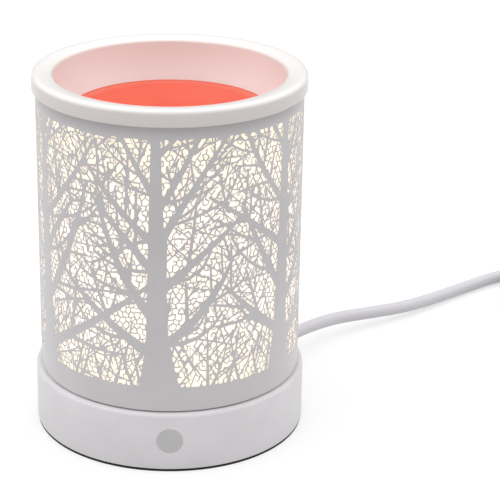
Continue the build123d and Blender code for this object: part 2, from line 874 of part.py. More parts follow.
def coil_point(turns):
    """Point of the coil's centre line after some turns. It winds in, climbs a layer and winds out."""
    angle = math.radians(coil_start_angle - 360 * turns)
    middle = coil_turns / 2
    outer = coil_mean_radius + coil_pitch * middle / 2
    radius = outer - coil_pitch * (middle - abs(turns - middle))
    climb = min(max((turns - middle) / coil_climb_turns + 1 / 2, 0), 1)
    height = coil_low + coil_layer_step * climb**2 * (3 - 2 * climb)
    centre = Vector(*coil_start) - Vector(outer, 0).rotate(Axis.Z, coil_start_angle)
    return centre + Vector(radius * math.cos(angle), radius * math.sin(angle), height)


def coil_direction(turns):
    """Direction of the coil's centre line after some turns. It is level at both ends."""
    step = 1 / coil_samples_per_turn
    return (coil_point(turns + step) - coil_point(turns - step)).normalized()


def coil_wire():
    """Centre line of the coil: one straight end, arcs in pairs, and the other straight end."""
    count = round(coil_turns * coil_steps_per_turn)
    turns = [coil_turns * index / count for index in range(count + 1)]
    points = [coil_point(turn) for turn in turns]
    headings = [coil_direction(turn) for turn in turns]
    straight = cord_radius * 2
    entry = points[0] - headings[0] * straight
    leave = points[-1] + headings[-1] * straight
    edges = [Edge.make_line(entry, points[0])]
    for index in range(count):
        edges += biarc(points[index], headings[index], points[index + 1], headings[index + 1])
    edges.append(Edge.make_line(points[-1], leave))
    return Wire(edges), entry, leave


def biarc(start, start_heading, end, end_heading):
    """Two arcs that join two points and keep both headings."""
    chord = end - start
    square = 2 * (1 - start_heading.dot(end_heading))
    linear = 2 * chord.dot(start_heading + end_heading)
    reach = (math.sqrt(linear**2 + 4 * square * chord.dot(chord)) - linear) / (2 * square)
    joint = (start + start_heading * reach + end - end_heading * reach) / 2
    first = Edge.make_tangent_arc(start, start_heading, joint)
    return [first, Edge.make_tangent_arc(joint, first % 1, end)]


def coil_gap(path):
    """Least gap of the coil to itself, between samples that are half a turn or more apart."""
    count = round(coil_turns * coil_samples_per_turn)
    samples = [tuple(path @ (index / count)) for index in range(count + 1)]
    apart = coil_samples_per_turn // 2
    pairs = ((samples[early], later) for early in range(count) for later in samples[early + apart :])
    return min(math.dist(early, later) for early, later in pairs) - cord_radius * 2


def make_tie():
    """Band round the coil, opposite its climb."""
    middle = coil_turns / 2
    outer = coil_mean_radius + coil_pitch * middle / 2
    first = (coil_start_angle - tie_angle) % 360 / 360
    far = outer - coil_pitch * first + cord_radius + tie_side_slack
    near = outer - coil_pitch * (first + math.floor(middle - first)) - cord_radius - tie_side_slack
    low = coil_low - cord_radius - tie_slack
    high = coil_low + coil_layer_step + cord_radius + tie_slack
    middle_height = (low + high) / 2
    inner = RectangleRounded(far - near, high - low, cord_radius)
    outside = RectangleRounded(
        far - near + tie_thickness * 2, high - low + tie_thickness * 2, cord_radius + tie_thickness
    )
    band = extrude(outside - inner, tie_width / 2, both=True)
    centre = Vector(*coil_start) - Vector(outer, 0).rotate(Axis.Z, coil_start_angle)
    place = Pos(centre.X, centre.Y, middle_height) * Rot(0, 0, tie_angle) * Pos((far + near) / 2, 0, 0)
    parts["coil_tie"] = place * Rot(90, 0, 0) * band


def make_plug():
    face = RectangleRounded(plug_width, plug_length, plug_corner_round)
    body = extrude(face, plug_height)
    body = fillet(body.faces().sort_by(Axis.Z)[0].edges(), plug_back_round)
    body = fillet(body.faces().sort_by(Axis.Z)[-1].edges(), plug_face_round)
    root = plug_height - plug_pin_root
    pins = []
    for x in (-plug_pin_spacing / 2, plug_pin_spacing / 2):
        high = plug_height + plug_pin_length
        pin = block(plug_pin_width, plug_pin_thickness, root, high, x, plug_pin_row)
        body = body - block(plug_pin_width, plug_pin_thickness, root, high, x, plug_pin_row)
        pins.append(chamfer(pin.faces().sort_by(Axis.Z)[-1].edges(), plug_pin_tip))
    earth_y = plug_pin_row - plug_earth_offset
    high = plug_height + plug_earth_length
    earth = block(plug_pin_thickness, plug_earth_width, root, high, 0, earth_y)
    body = body - block(plug_pin_thickness, plug_earth_width, root, high, 0, earth_y)
    carrier_y = plug_pin_row - (plug_earth_offset - plug_earth_width / 2 + plug_pin_thickness / 2) / 2
    carrier_low = plug_height - carrier_depth
    room = (carrier_length + slip * 2, carrier_width + slip * 2)
    body = body - block(*room, carrier_low - slip, plug_height + overrun, 0, carrier_y)
    carrier = block(carrier_length, carrier_width, carrier_low, plug_height, 0, carrier_y)
    fuse_z = carrier_low + fuse_radius + slip
    fuse = Pos(0, carrier_y, fuse_z) * Rot(0, 90, 0) * Cylinder(fuse_radius, fuse_length)
    mouth = block(fuse_length, fuse_radius * 2, carrier_low - overrun, fuse_z, 0, carrier_y)
    parts["plug_body"] = plug_place * body
    parts["plug_pins"] = group(plug_place * pin for pin in pins)
    parts["plug_earth_pin"] = plug_place * chamfer(earth.faces().sort_by(Axis.Z)[-1].edges(), plug_pin_tip)
    parts["plug_fuse_carrier"] = plug_place * (carrier - fuse - mouth)
    parts["plug_fuse"] = plug_place * fuse
    boot = turned(
        [
            (0, 0, 0),
            (plug_boot_radius, 0, 0),
            (plug_boot_tip_radius, plug_boot_length, 0),
            (0, plug_boot_length, 0),
        ]
    )
    boot = Pos(0, plug_length / 2, plug_entry_height) * Rot(-90, 0, 0) * boot
    parts["plug_boot"] = plug_place * boot


shade_screw_places = spread(shade_screw_count, shade_screw_azimuth, shade_inner - shade_screw_inset)
bracket_screw_x = deck_opening_length / 2 + bracket_foot / 2
bracket_screw_places = [Vector(-bracket_screw_x, 0, 0), Vector(bracket_screw_x, 0, 0)]
holder_screw_places = [Vector(-holder_screw_spacing / 2, 0, 0), Vector(holder_screw_spacing / 2, 0, 0)]
stem_low = cradle_under - contact_stem_length + bracket_thickness
cord_exit = Pos(0, 0, cord_exit_height) * Rot(0, 0, cord_azimuth) * Rot(90, 0, 0)
plug_place = Pos(plug_x, plug_y, 0) * Rot(0, 0, plug_turn)

make_base()
make_shade()
make_dish()
make_lamp_holder()
make_lamp()
make_dimmer()
make_leads()
make_cord()
make_tie()
make_plug()

os.makedirs("parts", exist_ok=True)
for name, shape in parts.items():
    export_step(shape, f"parts/{name}.step")
print(f"{len(parts)} nodes")
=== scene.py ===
import math
import random

import bmesh
import bpy
from mathutils import Matrix, Vector
from mathutils.geometry import delaunay_2d_cdt


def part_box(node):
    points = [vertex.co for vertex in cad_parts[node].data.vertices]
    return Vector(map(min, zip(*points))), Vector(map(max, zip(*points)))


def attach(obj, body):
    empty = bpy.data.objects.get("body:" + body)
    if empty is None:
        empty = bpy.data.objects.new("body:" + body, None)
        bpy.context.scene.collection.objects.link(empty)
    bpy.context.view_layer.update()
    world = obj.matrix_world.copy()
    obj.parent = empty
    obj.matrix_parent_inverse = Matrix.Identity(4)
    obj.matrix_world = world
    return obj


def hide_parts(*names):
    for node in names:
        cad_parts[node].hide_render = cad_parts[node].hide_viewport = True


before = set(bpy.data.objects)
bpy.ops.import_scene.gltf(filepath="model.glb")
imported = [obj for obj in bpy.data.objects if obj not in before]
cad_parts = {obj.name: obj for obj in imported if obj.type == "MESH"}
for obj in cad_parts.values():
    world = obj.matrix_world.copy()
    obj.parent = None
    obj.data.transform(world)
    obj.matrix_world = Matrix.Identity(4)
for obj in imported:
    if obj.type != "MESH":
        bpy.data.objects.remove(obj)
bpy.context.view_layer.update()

# Looks of an electric wax melt warmer: a pierced drum shade on a round touch base, with a dish of melted wax.
# Lengths are in metres. Z is up, the floor is at zero, and the front faces -Y.
# An azimuth is in degrees from the front, growing towards +X.

bl_info = {
    "name": "Wax melt warmer",
    "version": (1, 0, 0),
    "blender": (4, 5, 0),
    "location": "View3D > Sidebar > Warmer",
    "description": "Builds the warmer's shade, dish, wax, base, lamp, cord and plug, and a stage for them",
    "category": "Object",
}


MM = 1000  # millimetres in a metre
AXIS = 0.001  # radius of the small face that closes a turned piece at its axis
NEAR = 1e-5  # distance within which two places count as one
WIDE_ROUND = 0.002  # rounding from which on a turned piece gets more faces


# Settings


def shown(red, green, blue):
    """Scene-linear colour of one that a screen shows with these 8-bit values."""
    return tuple(((part / 255 + 0.055) / 1.055) ** 2.4 for part in (red, green, blue))


def number(name, description, default, **more):
    """A number setting."""
    return bpy.props.FloatProperty(name=name, description=description, default=default, **more)


def length(name, description, default):
    """A length setting in metres."""
    return number(name, description, default, unit="LENGTH", precision=5)


def count(name, description, default):
    """A whole number setting."""
    return bpy.props.IntProperty(name=name, description=description, default=default, min=1)


def angle(name, description, default):
    """An angle setting, given in degrees and kept in radians."""
    return number(name, description, math.radians(default), subtype="ANGLE", unit="ROTATION")


def colour(name, description, default):
    """A colour setting, given as a screen shows it."""
    return bpy.props.FloatVectorProperty(
        name=name, description=description, default=shown(*default), subtype="COLOR", size=3, min=0, max=1
    )


class WarmerStageSettings(bpy.types.PropertyGroup):
    """Camera, floor and lamps"""

    lens: number("Lens", "Focal length", 134.2, unit="CAMERA")
    elevation: angle("Elevation", "How far the camera looks down", 21.73)
    distance: length("Distance", "From the camera to the middle of the warmer", 0.7905)
    aim_height: length("Aim height", "Height on the warmer's axis that the camera aims at", 0.0751)
    shift: number("Shift", "Sideways shift of the frame, as a share of its width", 0.1605)
    floor_colour: colour("Floor colour", "Colour of the floor to the camera", (252, 252, 252))
    floor_bounce: colour("Floor bounce", "Colour of the floor to the pieces on it", (216, 216, 216))
    floor_white: number("Floor white", "Share of the floor that is plain white to the camera", 0.6)
    sky: number("Sky", "Even light from all round", 0.30)
    sky_side: number("Side light", "More light than that from the left and right", 0.75)
    sky_top: number("Top light", "More light than that from overhead", 1.45)
    sky_front: number("Front light", "More light than that from the camera's side", -0.15)
    key_power: number("Key power", "Power of the large lamp in watts", 1.6)


class WarmerShadeSettings(bpy.types.PropertyGroup):
    """Pierced drum of sheet metal and the frosted liner inside it"""

    radius: length("Radius", "Outside radius of the drum", 0.0552)
    wall: length("Wall", "Thickness of the sheet", 0.00015)
    low: length("Lower edge", "Height of the drum's lower edge", 0.02655)
    high: length("Upper edge", "Height of the drum's upper edge", 0.1475)
    window_low: length("Window foot", "Height where the piercing starts", 0.0371)
    window_high: length("Window top", "Height where the piercing ends", 0.1424)
    tree_count: count("Trees", "Trees round the drum", 6)
    first_tree: angle("First tree", "Azimuth of the first trunk", -185)
    seed: count("Seed", "Chance number of the branches", 11)
    limb_count: count("Limbs", "Limbs of one tree", 13)
    net_width: length("Net cell width", "Mean width of the fine net's cells", 0.0024)
    net_height: length("Net cell height", "Mean height of the fine net's cells", 0.0023)
    least_gap: number("Least gap", "Area in square millimetres below which a gap is filled", 0.36)
    metal: colour("Metal", "Painted metal of the drum", (194, 191, 193))
    liner_radius: length("Liner radius", "Outside radius of the liner", 0.0545)
    liner_wall: length("Liner wall", "Thickness of the liner", 0.0007)
    liner_low: length("Liner foot", "Height of the liner's lower edge", 0.0264)
    liner_high: length("Liner top", "Height of the liner's upper edge", 0.1472)
    glow: colour("Glow", "Lamp light in the liner", (249, 236, 224))
    glow_edge: colour("Glow at the edges", "Lamp light in the liner far from the lamp", (246, 229, 198))
    glow_strength: number("Glow strength", "Brightness of the liner, where 1 is white", 0.65)


class WarmerDishSettings(bpy.types.PropertyGroup):
    """Glazed dish and the wax in it"""

    rim_radius: length("Rim radius", "Outside radius of the rim", 0.05665)
    mouth_radius: length("Mouth radius", "Inside radius at the rim", 0.048)
    seat: length("Seat", "Height of the rim's lower face", 0.1475)
    rim_height: length("Rim height", "Height of the rim above its seat", 0.0075)
    rim_fall: length("Rim fall", "How far the rim falls towards the mouth", 0.0013)
    depth: length("Depth", "From the mouth to the floor", 0.0222)
    wall: length("Wall", "Thickness of the wall and the floor", 0.004)
    slope: angle("Slope", "Slope of the wall from upright", 21.4)
    step_height: length("Step height", "Height of the step that centres the dish in the shade", 0.005)
    step_radius: length("Step radius", "Radius of that step", 0.0526)
    wax_depth: length("Wax depth", "Depth of the melted wax", 0.0059)
    wax_creep: length("Wax creep", "How far the wax creeps up the wall", 0.0005)
    glaze: colour("Glaze", "Colour of the dish", (246, 243, 241))
    # Painted shade: colour of the rim's side, darker than its top
    painted_side_shade: colour("Glaze below", "Colour of the rim's side, where the glaze runs thin", (214, 208, 205))
    # Painted reflection of the wax's colour on the dish's inner wall
    painted_wax_reflection: colour("Blush", "Colour that the wax gives to the wall above it", (226, 192, 187))
    wax: colour("Wax", "Colour of the wax", (231, 72, 28))


class WarmerBaseSettings(bpy.types.PropertyGroup):
    """Round base with the touch spot"""

    radius: length("Radius", "Outside radius of the base", 0.0575)
    wall: length("Wall", "Thickness of the sheet", 0.001)
    deck: length("Deck", "Height of the base's top", 0.0259)
    edge_round: length("Edge rounding", "Rounding of the top edge", 0.0016)
    foot_high: length("Foot height", "Height of the foot ring", 0.0012)
    foot_inset: length("Foot inset", "How far the foot ring stands back", 0.0002)
    foot_width: length("Foot width", "Width of the foot ring", 0.0076)
    opening_length: length("Opening length", "Length of the deck's opening for the lamp holder", 0.046)
    opening_width: length("Opening width", "Width of that opening", 0.024)
    spot_radius: length("Spot radius", "Radius of the touch spot", 0.0055)
    spot_height: length("Spot height", "Height of the touch spot's middle", 0.0141)
    paint: colour("Paint", "Painted metal of the base", (224, 221, 224))
    spot: colour("Spot", "Printed touch spot", (196, 194, 196))


class WarmerCordSettings(bpy.types.PropertyGroup):
    """Mains cord, its strain reliefs, coil and plug"""

    radius: length("Radius", "Radius of the cord", 0.0029)
    azimuth: angle("Azimuth", "Where the cord leaves the base", 136)
    exit_height: length("Exit height", "Height of the cord where it leaves the base", 0.0095)
    sleeve: length("Sleeve", "Length of the strain relief outside the base", 0.020)
    lead_out: length("Lead out", "Straight run from the strain relief", 0.016)
    coil_x: length("Coil start X", "Where the coil starts", 0.205)
    coil_y: length("Coil start Y", "Where the coil starts", 0.152)
    coil_angle: angle("Coil start angle", "Direction from the coil's centre to its start", 100)
    coil_turns: number("Coil turns", "Turns of the coil, in two layers", 6.25)
    coil_radius: length("Coil radius", "Mean radius of the coil", 0.034)
    coil_pitch: length("Coil pitch", "Distance between turns side by side", 0.00635)
    coil_step: length("Coil step", "Height from one layer to the next", 0.0064)
    coil_lift: length("Coil lift", "Room for the tie under the coil", 0.0007)
    coil_lead_in: length("Coil lead in", "Straight run into the coil", 0.029)
    tail_lead_out: length("Tail lead out", "Straight run out of the coil", 0.016)
    tail_lead_in: length("Tail lead in", "Straight run to the plug", 0.015)
    plug_x: length("Plug X", "Middle of the plug", 0.2415)
    plug_y: length("Plug Y", "Middle of the plug", 0.0005)
    plug_turn: angle("Plug turn", "Turn of the plug about the upright axis", -12)
    plug_length: length("Plug length", "Length of the plug", 0.046)
    plug_width: length("Plug width", "Width of the plug", 0.049)
    plug_height: length("Plug height", "Height of the plug without its pins", 0.0175)
    plug_entry: length("Plug entry", "Height where the cord enters the plug", 0.0082)
    boot: length("Boot", "Length of the plug's strain relief", 0.022)
    sheath: colour("Sheath", "Colour of the cord and its strain reliefs", (211, 209, 214))
    plastic: colour("Plastic", "Colour of the plug", (216, 215, 218))


SETTINGS = {
    "warmer_stage": WarmerStageSettings,
    "warmer_shade": WarmerShadeSettings,
    "warmer_dish": WarmerDishSettings,
    "warmer_base": WarmerBaseSettings,
    "warmer_cord": WarmerCordSettings,
}

# Points on the cord's centre line between its leads
CORD_ROUTE = [
    (0.0795, 0.0814, 0.0078),
    (0.0982, 0.0917, 0.0062),
    (0.1180, 0.1036, 0.0044),
    (0.1440, 0.1268, 0.0029),
]
TAIL_ROUTE = [
    (0.2586, 0.0770, 0.0084),
]


# Modelling by operators


def clear():
    """Deselects everything in object mode, so that the next operator acts on its own piece alone."""
    if bpy.context.mode != "OBJECT":
        bpy.ops.object.mode_set(mode="OBJECT")
    bpy.ops.object.select_all(action="DESELECT")


def hold(piece):
    """Makes a piece the only one selected."""
    clear()
    piece.select_set(True)
    bpy.context.view_layer.objects.active = piece


def opened(name):
    """Names the primitive that was just added and opens it in edit mode with all of it selected."""
    piece = bpy.context.object
    piece.name = name
    piece.data.name = name
    bpy.ops.object.mode_set(mode="EDIT")
    bpy.ops.mesh.select_all(action="SELECT")
    return piece


def pick(piece, kind, test):
    """Selects in edit mode the edges or faces whose every vertex passes a test."""
    bpy.ops.mesh.select_mode(type=kind)
    bpy.ops.mesh.select_all(action="DESELECT")
    shape = bmesh.from_edit_mesh(piece.data)
    parts = {"EDGE": shape.edges, "FACE": shape.faces}[kind]
    chosen = [part for part in parts if all(test(vert.co) for vert in part.verts)]
    for part in chosen:
        part.select_set(True)
    bmesh.update_edit_mesh(piece.data)
    if not chosen:
        raise RuntimeError(f"{piece.name}: no {kind.lower()} there to select")


def on_ring(radius, height):
    """Test for a vertex on a ring about the upright axis."""
    return lambda at: abs(math.hypot(at.x, at.y) - radius) < NEAR and abs(at.z - height) < NEAR


def finished(piece, body, finish, node, smooth=35):
    """Puts a piece's place in its mesh, smooths it, gives it its finish and its body, and hides the CAD node it
    stands in for.
    """
    hold(piece)
    bpy.ops.object.transform_apply(location=True, rotation=True, scale=True)
    bpy.ops.object.shade_smooth_by_angle(angle=math.radians(smooth))
    piece.data.materials.append(finish)
    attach(piece, body)
    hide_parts(node)
    clear()
    return piece


def changed(piece, kind, **values):
    """Adds a modifier to a piece, sets it and applies it."""
    hold(piece)
    bpy.ops.object.modifier_add(type=kind)
    change = piece.modifiers[-1]
    for key, value in values.items():
        setattr(change, key, value)
    bpy.ops.object.modifier_apply(modifier=change.name)


def cut(piece, cutter):
    """Takes a cutter out of a piece and removes the cutter."""
    hold(cutter)
    bpy.ops.object.transform_apply(location=True, rotation=True, scale=True)
    changed(piece, "BOOLEAN", operation="DIFFERENCE", solver="EXACT", object=cutter)
    hold(cutter)
    bpy.ops.object.delete()


def turned(name, corners, steps=192, closed=False):
    """Turned piece: a ring is extruded and resized from corner to corner, then its corners are bevelled round.
    A corner is (radius, height, rounding). An open outline is closed by a face at each end."""
    clear()
    bpy.ops.mesh.primitive_circle_add(vertices=steps, radius=corners[0][0])
    piece = opened(name)
    bpy.ops.transform.translate(value=(0, 0, corners[0][1]))
    path = corners + corners[:1] if closed else corners
    for (radius, height, _), (next_radius, next_height, _) in zip(path, path[1:]):
        bpy.ops.mesh.extrude_edges_move(TRANSFORM_OT_translate={"value": (0, 0, next_height - height)})
        scale = next_radius / radius
        bpy.ops.transform.resize(value=(scale, scale, 1), center_override=(0, 0, 0))
    if closed:
        bpy.ops.mesh.select_all(action="SELECT")
        bpy.ops.mesh.remove_doubles(threshold=1e-6)
    else:
        for radius, height, _ in (corners[0], corners[-1]):
            pick(piece, "EDGE", on_ring(radius, height))
            bpy.ops.mesh.edge_face_add()
    bpy.ops.mesh.select_all(action="SELECT")
    bpy.ops.mesh.normals_make_consistent(inside=False)
    around = [corners[-1]] + corners + [corners[0]]
    for before, corner, after in zip(around, around[1:], around[2:]):
        if corner[2]:
            arriving = Vector((corner[0] - before[0], corner[1] - before[1]))
            leaving = Vector((after[0] - corner[0], after[1] - corner[1]))
            turn = arriving.angle(leaving)
            pick(piece, "EDGE", on_ring(corner[0], corner[1]))
            segments = 4 if corner[2] < WIDE_ROUND else 9
            bpy.ops.mesh.bevel(offset=corner[2] * math.tan(turn / 2), segments=segments, profile=0.5)
    return piece


def tube(name, outer, inner, low, high, foot_round=0):
    """Turned ring with a square section, rounded at its foot."""
    corners = [(outer, low, foot_round), (outer, high, 0), (inner, high, 0), (inner, low, foot_round)]
    return turned(name, corners, closed=True)


def block(name, size, centre):
    """Box of a size about a centre, opened in edit mode."""
    clear()
    bpy.ops.mesh.primitive_cube_add(size=1)
    piece = opened(name)
    bpy.ops.transform.resize(value=size)
    bpy.ops.transform.translate(value=centre)
    return piece


def outward(azimuth, radius, height):
    """Point at an azimuth in radians, a distance from the upright axis and a height."""
    return Vector((radius * math.sin(azimuth), -radius * math.cos(azimuth), height))


# Materials


class Field:
    """A value that varies over a surface. Its sums, differences and products add Math nodes."""

    def __init__(self, nodes, socket):
        self.nodes = nodes
        self.socket = socket

    def join(self, operation, first, second):
        """Adds one Math node."""
        return self.nodes.node("ShaderNodeMath", {"operation": operation}, {0: first, 1: second})

    def __add__(self, other):
        return self.join("ADD", self, other)

    def __radd__(self, other):
        return self.join("ADD", other, self)

    def __sub__(self, other):
        return self.join("SUBTRACT", self, other)

    def __rsub__(self, other):
        return self.join("SUBTRACT", other, self)

    def __mul__(self, other):
        return self.join("MULTIPLY", self, other)

    def __rmul__(self, other):
        return self.join("MULTIPLY", other, self)


class Nodes:
    """The nodes of a material or a world."""

    def __init__(self, tree):
        self.tree = tree

    def feed(self, socket, value):
        """Links a field to a socket, or sets the socket."""
        if isinstance(value, Field):
            self.tree.links.new(value.socket, socket)
        elif socket.type == "RGBA":
            socket.default_value = (*value, 1)
        else:
            socket.default_value = value

    def node(self, kind, settings, inputs, output=0):
        """Adds a node, with its settings first and then the values or links of its sockets."""
        made = self.tree.nodes.new(kind)
        for key, value in settings.items():
            setattr(made, key, value)
        for key, value in inputs.items():
            self.feed(made.inputs[key], value)
        return Field(self, made.outputs[output])

    def ray(self, kind):
        """One where a ray of light is of a kind, else zero."""
        return self.node("ShaderNodeLightPath", {}, {}, f"Is {kind} Ray")

    def larger(self, first, second):
        """The larger one of two values."""
        return self.node("ShaderNodeMath", {"operation": "MAXIMUM"}, {0: first, 1: second})

    def part_of(self, place, axis):
        """One coordinate of a place."""
        return self.node("ShaderNodeSeparateXYZ", {}, {"Vector": place}, axis)

    def show(self, output, part, first, second):
        """Feeds the output with a shader between two shaders."""
        mixed = self.node("ShaderNodeMixShader", {}, {0: part, 1: first, 2: second})
        self.feed(self.tree.nodes[output].inputs["Surface"], mixed)


class Finish(Nodes):
    """A material with one Principled shader. Its methods add nodes, and place is the surface's own coordinates."""

    def __init__(self, name, **sockets):
        self.material = bpy.data.materials.new(name)
        self.material.use_nodes = True
        super().__init__(self.material.node_tree)
        self.shader = self.tree.nodes["Principled BSDF"]
        self.place = self.node("ShaderNodeTexCoord", {}, {}, "Object")
        self.set({key.replace("_", " "): value for key, value in sockets.items()})

    def set(self, sockets):
        """Feeds sockets of the shader."""
        for key, value in sockets.items():
            self.feed(self.shader.inputs[key], value)

    def noise(self, scale, detail=2, roughness=0.5, place=None):
        """Noise between 0 and 1, with a scale in cells per metre."""
        inputs = {"Vector": place or self.place, "Scale": scale, "Detail": detail, "Roughness": roughness}
        return self.node("ShaderNodeTexNoise", {}, inputs, "Fac")

    def cells(self, scale):
        """Distance from the middle of rounded cells, with a scale in cells per metre."""
        return self.node("ShaderNodeTexVoronoi", {}, {"Vector": self.place, "Scale": scale}, "Distance")

    def stretched(self, x, y, z):
        """The surface's coordinates with each axis scaled."""
        return self.node("ShaderNodeVectorMath", {"operation": "MULTIPLY"}, {0: self.place, 1: (x, y, z)})

    def height(self):
        """Height of the surface."""
        return self.part_of(self.place, "Z")

    def reach(self):
        """Distance from the upright axis."""
        flat = self.stretched(1, 1, 0)
        return self.node("ShaderNodeVectorMath", {"operation": "LENGTH"}, {0: flat}, "Value")

    def ramp(self, value, low, high):
        """A value taken smoothly from a range to the range from 0 to 1."""
        inputs = {"Value": value, "From Min": low, "From Max": high}
        return self.node("ShaderNodeMapRange", {"interpolation_type": "SMOOTHSTEP"}, inputs, "Result")

    def mix(self, part, first, second):
        """Colour between two colours."""
        return self.node("ShaderNodeMix", {"data_type": "RGBA"}, {0: part, 6: first, 7: second}, 2)

    def look(self, tone, roughness, relief, depth):
        """Feeds the shader a colour, a roughness and a relief of a depth in metres, and gives the material."""
        inputs = {"Height": relief, "Distance": depth, "Strength": 1.0}
        bump = self.node("ShaderNodeBump", {}, inputs, "Normal")
        self.set({"Base Color": tone, "Roughness": roughness, "Normal": bump})
        return self.material


def scaled(tone, factor):
    """A colour made lighter or darker."""
    return tuple(min(part * factor, 1) for part in tone)


def paint_finish(name, tone, roughness, painted_light_span=None, coat=0.0):
    """Powder paint on metal: fine orange peel, faint clouds and a satin sheen. Over a span of heights it has
    painted bounce light, paler at the foot, and painted shade under the dish's rim, darker at the head."""
    finish = Finish(name, Specular_IOR_Level=0.45, Coat_Weight=coat, Coat_Roughness=0.25)
    clouds = finish.noise(55, 4)
    grain = finish.noise(1500)
    mottle = finish.ramp(clouds * 0.6 + grain * 0.4, 0.35, 0.65)
    paint = finish.mix(mottle, scaled(tone, 0.955), scaled(tone, 1.03))
    if painted_light_span:
        low, high = painted_light_span
        bounce_light_top = low + (high - low) * 0.6
        rim_shade_low, rim_shade_high = high - 0.006, high - 0.001
        height = finish.height()
        # Painted bounce light from the base: paler towards the drum's foot
        paint = finish.mix(finish.ramp(height, bounce_light_top, low) * 0.28, paint, scaled(tone, 1.35))
        # Painted shade under the dish's rim: darker towards the drum's head
        paint = finish.mix(finish.ramp(height, rim_shade_low, rim_shade_high) * 0.5, paint, scaled(tone, 0.64))
    rough = roughness + (clouds - 0.5) * 0.12 + (grain - 0.5) * 0.1
    return finish.look(paint, rough, finish.noise(900, 3) * 0.7 + clouds * 0.3, 0.00006)


def glaze_finish(settings):
    """White glaze: smooth with a slow ripple, painted shade on the rim's side, and a painted reflection of the wax on
    the wall inside the dish.
    """
    finish = Finish("glaze", Specular_IOR_Level=0.5, Coat_Roughness=0.06)
    ripple = finish.noise(70)
    height = finish.height()
    top = settings.seat + settings.rim_height
    floor = top - settings.rim_fall - settings.depth
    # Painted shade: the rim's side darker than its top
    side_shade_low, side_shade_high = settings.seat + 0.0048, settings.seat + 0.0068
    outer = finish.mix(finish.ramp(height, side_shade_low, side_shade_high), settings.painted_side_shade, settings.glaze)
    # Painted reflection of the wax: the inner wall tinted towards the wax's colour
    reflection_depth = finish.ramp(height, top, floor + settings.wax_depth)
    inner = finish.mix(0.85 - reflection_depth * 0.55, settings.glaze, settings.painted_wax_reflection)
    blend = 0.0012
    inside = finish.ramp(finish.reach(), settings.mouth_radius + blend, settings.mouth_radius - blend)
    above = finish.ramp(height, floor - settings.wall / 2, floor)
    tone = finish.mix(inside * above, outer, inner)
    speck = finish.ramp(finish.noise(420, 1), 0.70, 0.78)
    finish.set({"Coat Weight": 0.35 + (ripple - 0.5) * 0.2})
    specked = finish.mix(speck * 0.12, tone, scaled(settings.glaze, 0.8))
    return finish.look(specked, 0.16 + ripple * 0.08, ripple, 0.0002)


def wax_finish(settings):
    """Melted wax: a glossy coral surface that light enters a little way, with faint swirls of scent oil and a faint
    painted glow.
    """
    finish = Finish("wax", Specular_IOR_Level=0.32, Subsurface_Weight=0.2, Subsurface_Scale=1.0)
    finish.set({"Subsurface Radius": (0.004, 0.001, 0.0006)})
    swirl = finish.noise(60, 3, 0.6, finish.stretched(1, 1.8, 1))
    thin_from, thin_to = 0.036, 0.0412
    edge = finish.ramp(finish.reach(), thin_from, thin_to)
    inner = finish.mix(swirl * 0.5, scaled(settings.wax, 0.93), scaled(settings.wax, 1.06))
    tone = finish.mix(edge * 0.3, inner, shown(255, 150, 132))
    # Faint painted glow in the wax's own colour
    finish.set({"Emission Color": tone, "Emission Strength": 0.03})
    return finish.look(tone, 0.18 + swirl * 0.12, finish.noise(45) * 0.8 + swirl * 0.2, 0.00025)


def liner_finish(settings):
    """Frosted sheet lit by the lamp behind it: brightest at the lamp's height, warmer and dimmer at its edges."""
    finish = Finish("frosted_sheet")
    height = finish.height()
    clouds = finish.noise(38)
    dim_foot, lit_foot = 0.030, 0.062
    dim_head, lit_head = 0.150, 0.105
    lit = finish.ramp(height, dim_foot, lit_foot) * finish.ramp(height, dim_head, lit_head) * 0.8 + clouds * 0.2
    finish.set({"Base Color": finish.mix(clouds, shown(236, 232, 222), shown(246, 243, 236))})
    finish.set({"Emission Color": finish.mix(lit, settings.glow_edge, settings.glow)})
    finish.set({"Emission Strength": settings.glow_strength, "Roughness": 0.5 + clouds * 0.12})
    return finish.material


def moulded_finish(name, tone, roughness, grain=2600):
    """Moulded plastic or rubber with a fine even grain."""
    finish = Finish(name, Specular_IOR_Level=0.42)
    fine = finish.noise(grain)
    slow = finish.noise(90)
    rough = roughness + (fine - 0.5) * 0.16 + (slow - 0.5) * 0.08
    return finish.look(finish.mix(slow, scaled(tone, 0.965), scaled(tone, 1.025)), rough, fine, 0.00003)


def metal_finish(name, tone, roughness):
    """Bare or plated metal with faint rubbing marks."""
    finish = Finish(name, Metallic=1.0)
    marks = finish.noise(700, 3, 0.6, finish.stretched(1, 1, 6))
    spots = finish.noise(160, 3)
    rough = roughness + (marks - 0.5) * 0.2 + (spots - 0.5) * 0.1
    return finish.look(finish.mix(spots, scaled(tone, 0.88), scaled(tone, 1.04)), rough, marks, 0.00002)


def ceramic_finish():
    """Unglazed white ceramic of the lamp holder."""
    finish = Finish("porcelain", Specular_IOR_Level=0.3)
    pores = finish.noise(1200, 3)
    tone = finish.mix(pores, shown(226, 221, 208), shown(244, 240, 230))
    return finish.look(tone, 0.62 + (pores - 0.5) * 0.2, pores, 0.00005)


def foam_finish():
    """Dark foam of the foot ring."""
    finish = Finish("foot_foam", Specular_IOR_Level=0.2)
    foam = finish.cells(1500)
    tone = finish.mix(foam, shown(24, 24, 26), shown(58, 58, 60))
    return finish.look(tone, 0.88 + (foam - 0.5) * 0.1, foam, 0.00008)


def mirror_finish():
    """Faceted, coated glass of the reflector."""
    finish = Finish("reflector_coat", Metallic=0.85)
    tint = finish.noise(60)
    tone = finish.mix(tint, shown(232, 214, 190), shown(222, 226, 236))
    return finish.look(tone, 0.16 + tint * 0.08, finish.cells(420), 0.00015)


